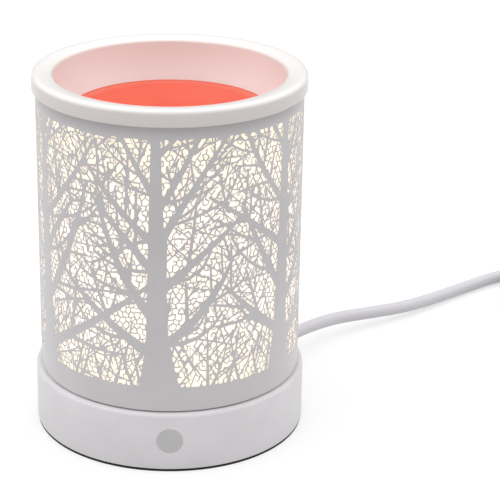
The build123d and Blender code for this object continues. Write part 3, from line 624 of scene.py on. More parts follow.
def lamp_glass_finish():
    """Front glass of the lit lamp: prismatic, with a hot middle."""
    finish = Finish("lamp_glass_lit", Coat_Roughness=0.1)
    hot_from, hot_to = 0.021, 0.002
    hot = finish.ramp(finish.reach(), hot_from, hot_to)
    prisms = finish.cells(520)
    finish.set({"Emission Color": finish.mix(hot, shown(196, 160, 112), shown(255, 250, 232))})
    finish.set({"Emission Strength": 0.5, "Coat Weight": 0.5 + hot * 0.3})
    return finish.look(finish.mix(prisms, shown(176, 172, 162), shown(214, 210, 200)), 0.2, prisms, 0.00015)


def capsule_finish():
    """Quartz capsule with its glowing filament."""
    finish = Finish("capsule_lit", Roughness=0.1)
    capsule_radius = 0.0045
    hot = finish.ramp(finish.reach(), capsule_radius, 0.0)
    finish.set({"Base Color": finish.mix(hot, shown(240, 232, 214), shown(255, 255, 250))})
    finish.set({"Emission Color": finish.mix(hot, shown(250, 220, 170), shown(255, 250, 236))})
    finish.set({"Emission Strength": 1.0})
    return finish.material


def floor_finish(settings):
    """Pale floor that the camera sees near white, and that keeps the shadows."""
    finish = Finish("floor", Roughness=0.9, Specular_IOR_Level=0.05)
    seen = finish.ray("Camera")
    pale = finish.mix(finish.noise(300), scaled(settings.floor_colour, 0.99), settings.floor_colour)
    finish.set({"Base Color": finish.mix(seen, settings.floor_bounce, pale)})
    part = (seen + finish.ray("Glossy") + finish.ray("Transmission")) * settings.floor_white
    white = finish.node("ShaderNodeEmission", {}, {"Color": (1, 1, 1), "Strength": 1.0})
    finish.show("Material Output", part, Field(finish, finish.shader.outputs[0]), white)
    return finish.material


def studio_sky(settings):
    """Studio light from all round, brighter overhead and at the sides, and white where the camera looks past all."""
    world = bpy.data.worlds.new("studio")
    world.use_nodes = True
    nodes = Nodes(world.node_tree)
    place = nodes.node("ShaderNodeTexCoord", {}, {}, "Generated")
    side = nodes.part_of(place, "X")
    front = nodes.larger(0 - nodes.part_of(place, "Y"), 0.0)
    top = nodes.larger(nodes.part_of(place, "Z"), 0.0)
    light = settings.sky + side * side * settings.sky_side + top * top * settings.sky_top + front * settings.sky_front
    lit = nodes.node("ShaderNodeBackground", {}, {"Color": (1, 1, 1), "Strength": light})
    white = nodes.node("ShaderNodeBackground", {}, {"Color": (1, 1, 1), "Strength": 1.0})
    nodes.show("World Output", nodes.larger(nodes.ray("Camera"), nodes.ray("Transmission")), lit, white)
    return world


def dress(finish, *nodes):
    """Gives CAD nodes that stay in sight a finish."""
    for name in nodes:
        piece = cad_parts[name]
        if not piece.material_slots:
            piece.data.materials.append(finish)
        for slot in piece.material_slots:
            slot.link = "OBJECT"
            slot.material = finish


# Pattern of bare trees, drawn flat in millimetres: u runs round the shade from the first tree, v is the height.

# Stems: lengths, widths and steps in millimetres, leans in degrees, and a bend as a share of the lean
TRUNK = {"width": 10.5, "foot_width": 15.0, "foot_height": 14.0, "tip": 2.4, "step": 20.0, "lean": 3.0}
LIMB = {"length": 58.0, "width": 5.0, "tip": 1.3, "step": 11.0}
BRANCH = {"count": 4, "length": 27.0, "width": 2.6, "tip": 1.0, "step": 7.0}
TWIG = {"count": 6, "length": 17.0, "width": 1.8, "tip": 0.6, "step": 5.0}
SPRAY = {"count": 3, "length": 5.5, "width": 0.65, "tip": 0.35, "step": 4.0}
LIMB_TWIG = {"count": 8, "length": 19.0, "width": 1.8, "tip": 0.7, "step": 6.0}
SHRUB = {"spacing": 7.0, "length": 20.0, "width": 1.5, "tip": 0.5, "step": 5.0, "lean": 38.0, "bend": -0.6}

# Net: jitter and lift of its knots as shares of a cell, widths of its threads, the share of them that is kept where
# nothing else grows, and how far a crowd lowers that share
NET = {"jitter": 0.3, "lift": 0.17, "width": (0.38, 0.66), "share": 0.95, "yield": 0.95}

CROWD = 0.41  # covered share from which twigs and sprays keep out
ROOT = 1.0  # how far stems start below the window

# How side shoots leave their stem: turns in degrees, the rest as shares
SHOOT_TURN = (24.0, 50.0)
SHOOT_SPREAD = 22.0
SHOOT_BEND = (-0.75, 0.35)
SHOOT_LENGTH = (0.75, 1.3)
SHOOT_FIRST = 0.04
SHOOT_LAST = 0.96
SHOOT_TAPER = 0.45
SHOOT_WIDTH = 0.5

# Steps between the chance numbers of stems, so that each stem has its own
SEED_STEP = 31
LIMB_TWIG_SEED = 7
SHRUB_SEED = 977


def grow_stem(start, lean, bend, long, step, widths):
    """Points (u, v, width) along a stem that leans from upright and bends as it grows."""
    steps = max(2, round(long / step))
    u, v = start
    points = [(u, v, widths[0])]
    for index in range(steps):
        lean += bend / steps
        u += long / steps * math.sin(lean)
        v += long / steps * math.cos(lean)
        points.append((u, v, widths[0] + (widths[1] - widths[0]) * (index + 1) / steps))
    return points


def place_on(stem, part):
    """Place, width and lean of a stem at a share of its length."""
    place = part * (len(stem) - 1)
    index = min(int(place), len(stem) - 2)
    (u, v, width), (next_u, next_v, next_width) = stem[index], stem[index + 1]
    along = place - index
    start = (u + (next_u - u) * along, v + (next_v - v) * along)
    return start, width + (next_width - width) * along, math.atan2(next_u - u, next_v - v)


def side_stems(stem, seed, kind, total):
    """Side shoots of a stem, left and right in turn, each with its own chance numbers."""
    shoots = []
    for index in range(total):
        shoot_seed = seed * SEED_STEP + index
        chance = random.Random(shoot_seed)
        part = SHOOT_FIRST + (1 - SHOOT_FIRST) * (index + chance.random()) / total
        start, stem_width, lean = place_on(stem, min(part, SHOOT_LAST))
        side = 1 if (index + seed) % 2 else -1
        lean += side * math.radians(chance.uniform(*SHOOT_TURN) + SHOOT_SPREAD * (1 - part) ** 3)
        bend = chance.uniform(*SHOOT_BEND) * lean
        long = kind["length"] * chance.uniform(*SHOOT_LENGTH) * (1 - part * SHOOT_TAPER)
        wide = max(min(kind["width"], stem_width * SHOOT_WIDTH), kind["tip"])
        shoots.append((shoot_seed, grow_stem(start, lean, bend, long, kind["step"], (wide, kind["tip"]))))
    return shoots


class Cover:
    """How much of each small square of the sheet is covered by stems, so that fine ones can keep clear of crowds."""

    def __init__(self, around, square=3.0):
        self.columns = round(around / square)
        self.square = around / self.columns
        self.taken = {}

    def samples(self, stem):
        """Squares that a stem passes at about every millimetre, with the area it covers there."""
        for (u, v, width), (next_u, next_v, next_width) in zip(stem, stem[1:]):
            long = math.hypot(next_u - u, next_v - v)
            steps = max(1, round(long))
            for step in range(steps):
                part = (step + 0.5) / steps
                at = (u + (next_u - u) * part, v + (next_v - v) * part)
                key = (int(at[0] // self.square) % self.columns, int(at[1] // self.square))
                yield key, (width + (next_width - width) * part) * long / steps / self.square**2

    def add(self, stem):
        """Covers the squares under a stem."""
        for key, area in self.samples(stem):
            self.taken[key] = self.taken.get(key, 0) + area

    def crowd(self, stem):
        """Mean share of the squares under a stem that is covered already."""
        found = [self.taken.get(key, 0) for key, _ in self.samples(stem)]
        return sum(found) / max(len(found), 1)


def wood(settings, around, low, high, fine):
    """All stems of the trees: trunks with flared feet, limbs, branches, undergrowth, twigs and sprays. Twigs and
    sprays keep out of crowded places, and fine gets what they cover."""
    cover = Cover(around)
    stems = []
    bearers = []
    spacing = around / settings.tree_count
    for tree in range(settings.tree_count):
        seed = settings.seed * SEED_STEP + tree
        lean = math.radians(random.Random(seed).uniform(-TRUNK["lean"], TRUNK["lean"]))
        start = (tree * spacing, low - ROOT)
        long = high + TRUNK["step"] - low + ROOT
        trunk = grow_stem(start, lean, -lean, long, TRUNK["step"], (TRUNK["width"], TRUNK["tip"]))
        flare = (TRUNK["foot_width"], TRUNK["width"])
        stems += [trunk, grow_stem(start, lean, 0, TRUNK["foot_height"], TRUNK["foot_height"], flare)]
        for limb_seed, limb in side_stems(trunk, seed, LIMB, settings.limb_count):
            branches = side_stems(limb, limb_seed, BRANCH, BRANCH["count"])
            stems += [limb] + [branch for _, branch in branches]
            bearers += [(branch_seed, branch, TWIG) for branch_seed, branch in branches]
            bearers.append((limb_seed + LIMB_TWIG_SEED, limb, LIMB_TWIG))
    chance = random.Random(settings.seed + 1)
    shrubs = round(around / SHRUB["spacing"])
    for index in range(shrubs):
        start = ((index + chance.random()) * around / shrubs, low - ROOT)
        lean = math.radians(chance.uniform(-SHRUB["lean"], SHRUB["lean"]))
        long = SHRUB["length"] * chance.uniform(*SHOOT_LENGTH)
        bend = lean * SHRUB["bend"]
        shrub = grow_stem(start, lean, bend, long, SHRUB["step"], (SHRUB["width"], SHRUB["tip"]))
        stems.append(shrub)
        bearers.append((settings.seed * SHRUB_SEED + index, shrub, LIMB_TWIG))
    for stem in stems:
        cover.add(stem)
    for _ in range(2):
        grown = []
        for seed, bearer, kind in bearers:
            for twig_seed, twig in side_stems(bearer, seed, kind, kind["count"]):
                if cover.crowd(twig) < CROWD:
                    cover.add(twig)
                    fine.add(twig)
                    stems.append(twig)
                    grown.append((twig_seed, twig, SPRAY))
        bearers = grown
    return stems


def net(settings, around, low, high, fine):
    """Fine crooked honeycomb between the twigs, as stems of two points. It closes on itself round the shade."""
    chance = random.Random(settings.seed)
    columns = round(around / settings.net_width / MM) * 2
    wide = around / columns
    tall = settings.net_height * MM
    rows = round((high - low) / tall) + 3
    jitter = NET["jitter"]
    knots = {}
    for column in range(columns):
        for row in range(rows):
            u = (column + chance.uniform(-jitter, jitter)) * wide
            lift = NET["lift"] if (column + row) % 2 else -NET["lift"]
            v = low + (row - 1 + lift + chance.uniform(-jitter, jitter)) * tall
            knots[column, row] = (u, v)
    for row in range(rows):
        u, v = knots[0, row]
        knots[columns, row] = (u + around, v)
    threads = []
    for column in range(columns):
        for row in range(rows):
            others = [(column + 1, row)]
            if (column + row) % 2:
                others.append((column, row + 1))
            for other in others:
                width = chance.uniform(*NET["width"])
                kept = chance.random()
                if other in knots:
                    thread = [(*knots[column, row], width), (*knots[other], width)]
                    if kept < NET["share"] - NET["yield"] * fine.crowd(thread):
                        threads.append(thread)
    return threads


def strips(stems, around, low, high):
    """Corners of the flat strips of all stems that reach into the window, also past its seam."""
    reach = 2.0
    lap_share = 0.25
    found = []
    for stem in stems:
        for (u, v, width), (next_u, next_v, next_width) in zip(stem, stem[1:]):
            if max(v, next_v) < low - reach or min(v, next_v) > high + reach:
                continue
            along = Vector((next_u - u, next_v - v)).normalized()
            side = Vector((-along.y, along.x))
            lap = along * next_width * lap_share
            start, end = Vector((u, v)), Vector((next_u, next_v)) + lap
            corners = [start - side * width / 2, end - side * next_width / 2]
            corners += [end + side * next_width / 2, start + side * width / 2]
            for shift in (-around, 0, around):
                moved = [(corner.x + shift, corner.y) for corner in corners]
                if min(at[0] for at in moved) < around and max(at[0] for at in moved) > 0:
                    found.append(moved)
    return found


def sides_of(triangle):
    """Sides of a triangle, each as the pair of its corners with the lower one first."""
    return [tuple(sorted(side)) for side in zip(triangle, triangle[1:] + triangle[:1])]


def shared_sides(triangles):
    """Numbers of the triangles at each side, from pairs of a number and a triangle."""
    shared = {}
    for index, triangle in triangles:
        for side in sides_of(triangle):
            shared.setdefault(side, []).append(index)
    return shared


def gap_borders(quads, around, low, high, least):
    """Border edges of the gaps that the strips leave in the window, as pairs of points."""
    points = [Vector(corner) for quad in quads for corner in quad]
    faces = [tuple(range(index * 4, index * 4 + 4)) for index in range(len(quads))]
    first = len(points)
    points += [Vector(at) for at in ((0, low), (around, low), (around, high), (0, high))]
    edges = [(first, first + 1), (first + 1, first + 2), (first + 2, first + 3), (first + 3, first)]
    verts, _, triangles, _, _, owners = delaunay_2d_cdt(points, edges, faces, 0, 1e-5)
    gaps = {}
    for index, (triangle, owner) in enumerate(zip(triangles, owners)):
        middle = sum((verts[corner] for corner in triangle), Vector((0, 0))) / 3
        if not owner and 0 < middle.x < around and low < middle.y < high:
            gaps[index] = index
    shared = shared_sides((index, triangles[index]) for index in gaps)

    def root(index):
        while gaps[index] != index:
            gaps[index] = gaps[gaps[index]]
            index = gaps[index]
        return index

    for pair in shared.values():
        if len(pair) == 2:
            gaps[root(pair[0])] = root(pair[1])
    areas = {}
    for index in gaps:
        a, b, c = (verts[corner] for corner in triangles[index])
        area = abs((b - a).cross(c - a)) / 2
        areas[root(index)] = areas.get(root(index), 0) + area
    near = 1e-4
    borders = []
    for (start, end), pair in shared.items():
        seam = all(min(abs(verts[at].x), abs(verts[at].x - around)) < near for at in (start, end))
        if len(pair) == 1 and not seam and areas[root(pair[0])] > least:
            borders.append((verts[start], verts[end]))
    return borders


def pierced_sheet(borders, around, low, high):
    """Flat triangles of the sheet between the gaps, cut along upright lines so that it can be bent round."""
    places = {}
    points = []
    bend_lines = 72
    per_millimetre = 1e4

    def knot(at):
        key = (round(at[0] * per_millimetre), round(at[1] * per_millimetre))
        if key not in places:
            places[key] = len(points)
            points.append(Vector(at))
        return places[key]

    edges = [(knot(start), knot(end)) for start, end in borders]
    edges = [edge for edge in edges if edge[0] != edge[1]]
    border_count = len(edges)
    feet = [knot((around * line / bend_lines, low)) for line in range(bend_lines + 1)]
    heads = [knot((around * line / bend_lines, high)) for line in range(bend_lines + 1)]
    edges += list(zip(feet, heads)) + list(zip(feet, feet[1:])) + list(zip(heads, heads[1:]))
    verts, made, triangles, _, origins, _ = delaunay_2d_cdt(points, edges, [], 0, 1e-6)
    cuts = [edge for edge, origin in zip(made, origins) if any(index < border_count for index in origin)]
    border = {tuple(sorted(edge)) for edge in cuts}
    shared = shared_sides(enumerate(triangles))
    foot = min(range(len(triangles)), key=lambda index: sum(verts[corner].y for corner in triangles[index]))
    metal = {foot: True}
    waiting = [foot]
    while waiting:
        index = waiting.pop()
        for side in sides_of(triangles[index]):
            for other in shared[side]:
                if other not in metal:
                    metal[other] = metal[index] != (side in border)
                    waiting.append(other)
    kept = [triangle for index, triangle in enumerate(triangles) if metal.get(index)]
    return verts, kept


# Pieces


def make_shade(settings):
    """The pierced drum, cut flat and bent round, then thickened. The pattern needs more cuts than operators make."""
    around = 2 * math.pi * settings.radius * MM
    window = (around, settings.window_low * MM, settings.window_high * MM)
    fine = Cover(around)
    stems = wood(settings, *window, fine)
    stems += net(settings, *window, fine)
    borders = gap_borders(strips(stems, *window), *window, settings.least_gap)
    verts, triangles = pierced_sheet(borders, around, settings.low * MM, settings.high * MM)
    used = sorted({corner for triangle in triangles for corner in triangle})
    place = {corner: index for index, corner in enumerate(used)}
    bent = [
        outward(settings.first_tree + verts[at].x / settings.radius / MM, settings.radius, verts[at].y / MM)
        for at in used
    ]
    mesh = bpy.data.meshes.new("drum_shade")
    mesh.from_pydata(bent, [], [[place[corner] for corner in triangle] for triangle in triangles])
    piece = bpy.data.objects.new("drum_shade", mesh)
    bpy.context.collection.objects.link(piece)
    hold(piece)
    bpy.ops.object.mode_set(mode="EDIT")
    bpy.ops.mesh.select_all(action="SELECT")
    bpy.ops.mesh.remove_doubles(threshold=2e-6)
    changed(piece, "SOLIDIFY", thickness=settings.wall, offset=-1.0, use_even_offset=False)
    finish = paint_finish("shade_paint", settings.metal, 0.46, (settings.low, settings.high), 0.8)
    return finished(piece, "base", finish, "pierced_shade", smooth=30)


def make_liner(settings):
    """Frosted tube behind the piercing."""
    outside = settings.liner_radius
    inside = outside - settings.liner_wall
    piece = tube("liner_tube", outside, inside, settings.liner_low, settings.liner_high)
    return finished(piece, "base", liner_finish(settings), "diffuser_liner")


# Roundings of the dish's corners, from the middle of its underside outwards and over the rim to its floor
DISH_ROUNDS = {"under": 0.009, "step": 0.0004, "rim_low": 0.0008, "rim_high": 0.0019, "mouth": 0.0015, "floor": 0.007}

# How the wax meets the wall: distances from the wall, each with a share of the creep
WAX_MEETING = [(0.0004, 0.45), (0.0009, 0.18), (0.0016, 0.05), (0.0025, 0)]

# How the pool sags: distances from the axis, each with a drop
WAX_SAG = [(0.030, 0.00005), (0.015, 0.00008), (AXIS, 0.0001)]


def make_dish(settings):
    """Glazed dish with its thick rim and the step that centres it, and the pool of wax."""
    top = settings.seat + settings.rim_height
    mouth = top - settings.rim_fall
    floor = mouth - settings.depth
    step = settings.seat - settings.step_height
    fall = math.tan(settings.slope)
    floor_radius = settings.mouth_radius - (mouth - floor) * fall
    step_wall = settings.mouth_radius - (mouth - step) * fall + settings.wall / math.cos(settings.slope)
    under = floor - settings.wall
    under_radius = step_wall - (step - under) * fall
    corners = [
        (AXIS, under, 0),
        (under_radius, under, DISH_ROUNDS["under"]),
        (step_wall, step, 0),
        (settings.step_radius, step, DISH_ROUNDS["step"]),
        (settings.step_radius, settings.seat, 0),
        (settings.rim_radius, settings.seat, DISH_ROUNDS["rim_low"]),
        (settings.rim_radius, top, DISH_ROUNDS["rim_high"]),
        (settings.mouth_radius, mouth, DISH_ROUNDS["mouth"]),
        (floor_radius, floor, DISH_ROUNDS["floor"]),
        (AXIS, floor, 0),
    ]
    dish = turned("glazed_dish", corners, steps=256)
    finished(dish, "dish", glaze_finish(settings), "wax_dish")

    level = floor + settings.wax_depth
    overlap, clearance = 0.00005, 0.0001
    foot_inset, middle_inset = 0.003, 0.0012
    wall = floor_radius + settings.wax_depth * fall + overlap
    creep = settings.wax_creep
    foot = floor + clearance
    corners = [
        (AXIS, foot, 0),
        (floor_radius - foot_inset, foot, 0),
        (wall - middle_inset, floor + settings.wax_depth / 2, 0),
        (wall + creep * fall, level + creep, 0),
    ]
    corners += [(wall - away, level + creep * part, 0) for away, part in WAX_MEETING]
    corners += [(radius, level - drop, 0) for radius, drop in WAX_SAG]
    pool = turned("wax_fill", corners, steps=256)
    return finished(pool, "dish", wax_finish(settings), "wax_pool", smooth=60)


# Small roundings of the base and its foot ring
CUP_LIP_ROUND = 0.0003
CUP_INNER_ROUND = 0.0006
FOOT_ROUND = 0.0004

# Hole for the cord, cut through the wall
CORD_HOLE_RADIUS = 0.0046
CORD_HOLE_DEPTH = 0.012

# Touch spot: how far its print stands out, its thickness and its rings of faces
SPOT_LIFT = 0.00004
SPOT_WALL = 0.0003
SPOT_RINGS = 5


def make_base(settings):
    """Drawn steel cup of the base, with the deck's opening and the cord's hole, the foot ring and the touch spot."""
    inside = settings.radius - settings.wall
    under = settings.deck - settings.wall
    corners = [
        (AXIS, settings.deck, 0),
        (settings.radius, settings.deck, settings.edge_round),
        (settings.radius, settings.foot_high, CUP_LIP_ROUND),
        (inside, settings.foot_high, 0),
        (inside, under, CUP_INNER_ROUND),
        (AXIS, under, 0),
    ]
    cup = turned("base_cup", corners, steps=256)
    through = settings.wall * 6
    opening = (settings.opening_length, settings.opening_width, through)
    cut(cup, block("opening_cutter", opening, (0, 0, settings.deck)))
    cord = bpy.context.scene.warmer_cord
    clear()
    bpy.ops.mesh.primitive_cylinder_add(
        vertices=48,
        radius=CORD_HOLE_RADIUS,
        depth=CORD_HOLE_DEPTH,
        location=outward(cord.azimuth, settings.radius, cord.exit_height),
        rotation=(math.pi / 2, 0, cord.azimuth),
    )
    cut(cup, bpy.context.object)
    finish = paint_finish("base_paint", settings.paint, 0.38)
    finished(cup, "base", finish, "base_housing")

    outside = settings.radius - settings.foot_inset
    ring = tube("foot_pad", outside, outside - settings.foot_width, 0, settings.foot_high, FOOT_ROUND)
    finished(ring, "base", foam_finish(), "foot_ring")

    clear()
    bpy.ops.mesh.primitive_circle_add(vertices=64, radius=settings.spot_radius, fill_type="NGON")
    spot = opened("spot_print")
    for _ in range(SPOT_RINGS):
        bpy.ops.mesh.inset(thickness=settings.spot_radius / (SPOT_RINGS + 1.5), depth=0)
    shape = bmesh.from_edit_mesh(spot.data)
    for vert in shape.verts:
        turn = vert.co.x / settings.radius
        vert.co = outward(turn, settings.radius + SPOT_LIFT, settings.spot_height + vert.co.y)
    bmesh.update_edit_mesh(spot.data)
    changed(spot, "SOLIDIFY", thickness=SPOT_WALL, offset=-1.0)
    finish = moulded_finish("spot_print", settings.spot, 0.42)
    return finished(spot, "base", finish, "touch_spot", smooth=40)


# Ribs of a strain relief: their number, the depth of the grooves and, as shares of their pitch, where the first
# groove starts, its slopes and its end
RIBS = 6
GROOVE = 0.0006
GROOVE_START, GROOVE_FLOOR, GROOVE_RISE, GROOVE_END = 0.55, 0.12, 0.38, 0.5

# Roundings of a strain relief's ribs, its tip and the two edges of its flange
RIB_ROUND, TIP_ROUND, FLANGE_ROUNDS = 0.0002, 0.0005, (0.0003, 0.0008)


def sleeve(name, long, ends, bore, flange=None):
    """Tapered strain relief along +Z with rounded ribs. Its ends are the radii at its root and tip. A flange, as
    (radius, thickness), stands at its root."""
    root, tip = ends
    corners = [(bore, 0, 0)]
    start = 0
    if flange:
        wide, start = flange
        corners += [(wide, 0, FLANGE_ROUNDS[0]), (wide, start, FLANGE_ROUNDS[1])]
    corners.append((root, start, 0))
    pitch = (long - start) / (RIBS + 0.5)
    for rib in range(RIBS):
        low = start + pitch * (rib + GROOVE_START)
        radius = root + (tip - root) * (low - start) / (long - start)
        groove = radius - GROOVE
        corners += [(radius, low, RIB_ROUND), (groove, low + pitch * GROOVE_FLOOR, 0)]
        corners += [(groove, low + pitch * GROOVE_RISE, 0), (radius, low + pitch * GROOVE_END, RIB_ROUND)]
    corners += [(tip, long, TIP_ROUND), (bore, long, 0)]
    return turned(name, corners, steps=48, closed=True)


def plug_place(settings):
    """Placing of the plug, whose own +Y faces its cord."""
    return Matrix.Translation((settings.plug_x, settings.plug_y, 0)) @ Matrix.Rotation(settings.plug_turn, 4, "Z")


def make_cord(settings):
    """One spline from the strain relief over its route, through the coil's turns, to the plug's boot."""
    base = bpy.context.scene.warmer_base
    start = outward(settings.azimuth, base.radius + settings.sleeve, settings.exit_height)
    middle = settings.coil_turns / 2
    climb_turns = 0.5
    outer = settings.coil_radius + settings.coil_pitch * middle / 2
    centre = Vector((settings.coil_x, settings.coil_y)) - outer * Vector(
        (math.cos(settings.coil_angle), math.sin(settings.coil_angle))
    )

    def coil_point(turns):
        turn = settings.coil_angle - 2 * math.pi * turns
        radius = outer - settings.coil_pitch * (middle - abs(turns - middle))
        climb = min(max((turns - middle) / climb_turns + 0.5, 0), 1)
        height = settings.radius + settings.coil_lift + settings.coil_step * climb**2 * (3 - 2 * climb)
        return Vector((centre.x + radius * math.cos(turn), centre.y + radius * math.sin(turn), height))

    per_turn = 24
    steps = round(settings.coil_turns * per_turn)
    into = (coil_point(1 / per_turn) - coil_point(-1 / per_turn)).normalized()
    off = (coil_point((steps + 1) / per_turn) - coil_point((steps - 1) / per_turn)).normalized()
    straight = settings.radius * 2
    entry = coil_point(0) - into * straight
    leave = coil_point(settings.coil_turns) + off * straight
    place = plug_place(settings)
    boot_end = settings.plug_length / 2 + settings.boot
    points = [start, start + outward(settings.azimuth, settings.lead_out, 0)]
    points += [Vector(at) for at in CORD_ROUTE]
    points += [entry - into * settings.coil_lead_in, entry]
    points += [coil_point(index / per_turn) for index in range(steps + 1)]
    points += [leave, leave + off * settings.tail_lead_out]
    points += [Vector(at) for at in TAIL_ROUTE]
    points += [place @ Vector((0, boot_end + settings.tail_lead_in, settings.plug_entry))]
    points += [place @ Vector((0, boot_end, settings.plug_entry))]

    curve = bpy.data.curves.new("mains_cord", "CURVE")
    curve.dimensions = "3D"
    curve.bevel_depth = settings.radius
    curve.bevel_resolution = 6
    curve.use_fill_caps = True
    curve.resolution_u = 5
    spline = curve.splines.new("NURBS")
    spline.points.add(len(points) - 1)
    for knot, at in zip(spline.points, points):
        knot.co = (*at, 1)
    spline.order_u = 3
    spline.use_endpoint_u = True
    piece = bpy.data.objects.new("mains_cord", curve)
    bpy.context.collection.objects.link(piece)
    curve.materials.append(moulded_finish("cord_sheath", settings.sheath, 0.36, 1600))
    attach(piece, "base")
    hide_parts("cord_free", "cord_coil", "cord_tail")
    return piece, start


# Radii of the two strain reliefs at their root and tip
BUSH_ENDS = (0.0048, 0.0037)
BOOT_ENDS = (0.0062, 0.0042)

# Radius and thickness of the flange on the base's wall, and how far it sinks into it
BUSH_FLANGE = (0.006, 0.0024)
BUSH_SINK = 0.0002


def make_reliefs(settings):
    """Strain reliefs where the cord leaves the base and enters the plug."""
    finish = moulded_finish("relief_rubber", scaled(settings.sheath, 0.97), 0.5)
    base = bpy.context.scene.warmer_base
    bush = sleeve("base_relief", settings.sleeve, BUSH_ENDS, settings.radius, BUSH_FLANGE)
    leaving = Matrix.Translation(outward(settings.azimuth, base.radius - BUSH_SINK, settings.exit_height))
    bush.matrix_world = leaving @ outward(settings.azimuth, 1, 0).to_track_quat("Z", "Y").to_matrix().to_4x4()
    finished(bush, "base", finish, "cord_bush")
    boot = sleeve("plug_relief", settings.boot, BOOT_ENDS, settings.radius)
    entering = Matrix.Translation((0, settings.plug_length / 2, settings.plug_entry))
    boot.matrix_world = plug_place(settings) @ entering @ Matrix.Rotation(-math.pi / 2, 4, "X")
    return finished(boot, "base", finish, "plug_boot")


# Roundings of the plug's upright corners, its back and its face, with the segments of each
PLUG_CORNER = (0.013, 12)
PLUG_BACK = (0.005, 8)
PLUG_FACE = (0.0012, 4)

# Groove round the plug's face: its distance from the edge, its slope's width and its depth
PLUG_GROOVE = (0.0022, 0.0003, 0.0004)

# Slot of the fuse carrier: its size and how far its middle lies below the face
FUSE_SLOT = (0.0286, 0.0096, 0.0096)
FUSE_SLOT_DROP = 0.0042


def make_plug(settings):
    """Moulded plug lying on its back: a rounded block with a groove round its face and the fuse's slot."""
    width, long, high = settings.plug_width, settings.plug_length, settings.plug_height
    piece = block("plug_block", (width, long, high), (0, 0, high / 2))
    corner = (width / 2 - 1e-4, long / 2 - 1e-4)
    for (offset, segments), test in (
        (PLUG_CORNER, lambda at: abs(at.x) > corner[0] and abs(at.y) > corner[1]),
        (PLUG_BACK, lambda at: at.z < NEAR),
        (PLUG_FACE, lambda at: at.z > high - NEAR),
    ):
        pick(piece, "EDGE", test)
        bpy.ops.mesh.bevel(offset=offset, segments=segments, profile=0.5)
    pick(piece, "FACE", lambda at: at.z > high - NEAR)
    inset, slope, depth = PLUG_GROOVE
    for thickness, rise in ((inset, 0), (slope, -depth), (slope, depth)):
        bpy.ops.mesh.inset(thickness=thickness, depth=rise)
    lowest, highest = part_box("plug_fuse_carrier")
    place = plug_place(settings)
    middle = place.inverted() @ ((Vector(lowest) + Vector(highest)) / 2)
    cut(piece, block("fuse_slot", FUSE_SLOT, (middle.x, middle.y, high - FUSE_SLOT_DROP)))
    piece.matrix_world = place
    finish = moulded_finish("plug_plastic", settings.plastic, 0.34)
    return finished(piece, "base", finish, "plug_body")


def make_finishes():
    """Finishes of the small pieces whose solids are right as they are."""
    steel = metal_finish("zinc_steel", shown(176, 178, 182), 0.36)
    dress(steel, "base_pillars", "base_plate_screws", "shade_collar", "shade_screws", "shade_nuts")
    dress(steel, "lamp_bracket", "bracket_screws", "bracket_nuts", "holder_screws", "holder_nuts")
    dress(metal_finish("brass", shown(214, 188, 120), 0.3), "holder_contacts", "lamp_pins", "plug_pins", "sense_tag")
    dress(ceramic_finish(), "lamp_holder", "lamp_base")
    dress(mirror_finish(), "lamp_reflector")
    dress(lamp_glass_finish(), "lamp_glass")
    dress(capsule_finish(), "lamp_capsule")
    black = moulded_finish("black_plastic", shown(44, 44, 46), 0.5)
    dress(black, "base_plate", "dimmer_case")
    dress(moulded_finish("foam_tape", shown(222, 220, 214), 0.8, 1200), "dimmer_pad")
    dress(moulded_finish("circuit_board", shown(48, 120, 78), 0.4), "dimmer_board")
    white = moulded_finish("white_plastic", shown(222, 222, 220), 0.4)
    dress(white, "splice_connectors", "coil_tie", "plug_earth_pin", "plug_fuse_carrier")
    dress(moulded_finish("fuse_tube", shown(228, 224, 212), 0.5), "plug_fuse")
    dress(moulded_finish("brown_wire", shown(120, 74, 44), 0.32, 1800), "cord_cores", "lamp_leads")
    dress(moulded_finish("blue_wire", shown(60, 92, 160), 0.32, 1800), "dimmer_leads", "sense_lead")
    dress(bpy.data.materials["cord_sheath"], "inner_cord")


# Operators

# Side of the floor, and place and side of the large lamp, which faces the origin
FLOOR_SIZE = 8
KEY_PLACE = Vector((-0.45, -0.35, 1.3))
KEY_SIZE = 0.8


class WarmerStage(bpy.types.Operator):
    """Camera at the photograph's viewing angle, pale floor and soft lamps"""

    bl_idname = "warmer.stage"
    bl_label = "Stage"

    def execute(self, context):
        settings = context.scene.warmer_stage
        clear()
        back = settings.distance * math.cos(settings.elevation)
        height = settings.aim_height + settings.distance * math.sin(settings.elevation)
        tilt = math.pi / 2 - settings.elevation
        bpy.ops.object.camera_add(location=(0, -back, height), rotation=(tilt, 0, 0))
        camera = context.object
        camera.data.lens = settings.lens
        camera.data.shift_x = settings.shift
        camera.data.clip_start = 0.01
        context.scene.camera = camera

        clear()
        bpy.ops.mesh.primitive_plane_add(size=FLOOR_SIZE)
        floor = context.object
        floor.name = "floor"
        floor.data.materials.append(floor_finish(settings))

        clear()
        turn = (-KEY_PLACE).to_track_quat("-Z", "Y").to_euler()
        bpy.ops.object.light_add(type="AREA", location=KEY_PLACE, rotation=turn)
        lamp = context.object
        lamp.name = "key_lamp"
        lamp.data.size = KEY_SIZE
        lamp.data.energy = settings.key_power
        context.scene.world = studio_sky(settings)
        context.scene.view_settings.view_transform = "Standard"
        return {"FINISHED"}


class WarmerCord(bpy.types.Operator):
    """Mains cord, its strain reliefs and the plug"""

    bl_idname = "warmer.cord"
    bl_label = "Cord and plug"

    def execute(self, context):
        settings = context.scene.warmer_cord
        cord, start = make_cord(settings)
        boot = make_reliefs(settings)
        body = make_plug(settings)
        return {"FINISHED"}


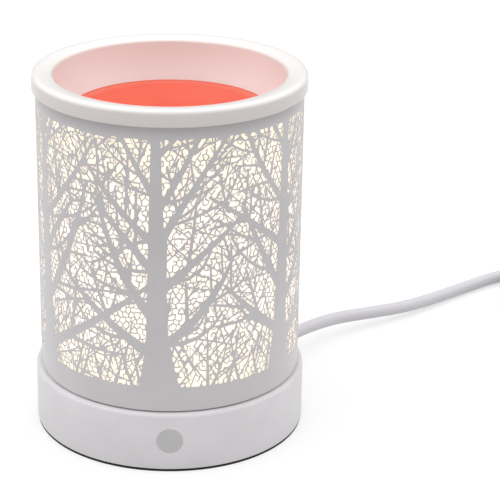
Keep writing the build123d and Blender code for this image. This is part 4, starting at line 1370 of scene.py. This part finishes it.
class WarmerShade(bpy.types.Operator):
    """Pierced drum shade and the frosted liner behind it"""

    bl_idname = "warmer.shade"
    bl_label = "Shade and liner"

    def execute(self, context):
        make_shade(context.scene.warmer_shade)
        make_liner(context.scene.warmer_shade)
        return {"FINISHED"}


class WarmerDish(bpy.types.Operator):
    """Glazed dish and its wax"""

    bl_idname = "warmer.dish"
    bl_label = "Dish and wax"

    def execute(self, context):
        make_dish(context.scene.warmer_dish)
        return {"FINISHED"}


class WarmerBase(bpy.types.Operator):
    """Base cup, foot ring and touch spot"""

    bl_idname = "warmer.base"
    bl_label = "Base"

    def execute(self, context):
        make_base(context.scene.warmer_base)
        return {"FINISHED"}


class WarmerFinishes(bpy.types.Operator):
    """Finishes of the lamp, its holder, the fasteners and the leads"""

    bl_idname = "warmer.finishes"
    bl_label = "Small pieces"

    def execute(self, context):
        make_finishes()
        return {"FINISHED"}


OPERATORS = (WarmerStage, WarmerCord, WarmerShade, WarmerDish, WarmerBase, WarmerFinishes)


class WarmerPanel(bpy.types.Panel):
    """Lists the warmer's operators and their settings"""

    bl_idname = "VIEW3D_PT_warmer"
    bl_label = "Wax melt warmer"
    bl_space_type = "VIEW_3D"
    bl_region_type = "UI"
    bl_category = "Warmer"

    def draw(self, context):
        for operator in OPERATORS:
            self.layout.operator(operator.bl_idname)
        for name, group in SETTINGS.items():
            box = self.layout.box()
            box.label(text=group.__doc__)
            for key in group.__annotations__:
                box.prop(getattr(context.scene, name), key)


def register():
    for group in SETTINGS.values():
        bpy.utils.register_class(group)
    for name, group in SETTINGS.items():
        setattr(bpy.types.Scene, name, bpy.props.PointerProperty(type=group))
    for operator in OPERATORS:
        bpy.utils.register_class(operator)
    bpy.utils.register_class(WarmerPanel)


def unregister():
    bpy.utils.unregister_class(WarmerPanel)
    for operator in reversed(OPERATORS):
        bpy.utils.unregister_class(operator)
    for name, group in SETTINGS.items():
        delattr(bpy.types.Scene, name)
        bpy.utils.unregister_class(group)


def main():
    register()
    bpy.ops.warmer.stage()
    bpy.ops.warmer.cord()
    bpy.ops.warmer.shade()
    bpy.ops.warmer.dish()
    bpy.ops.warmer.base()
    bpy.ops.warmer.finishes()


if __name__ == "__main__":
    main()
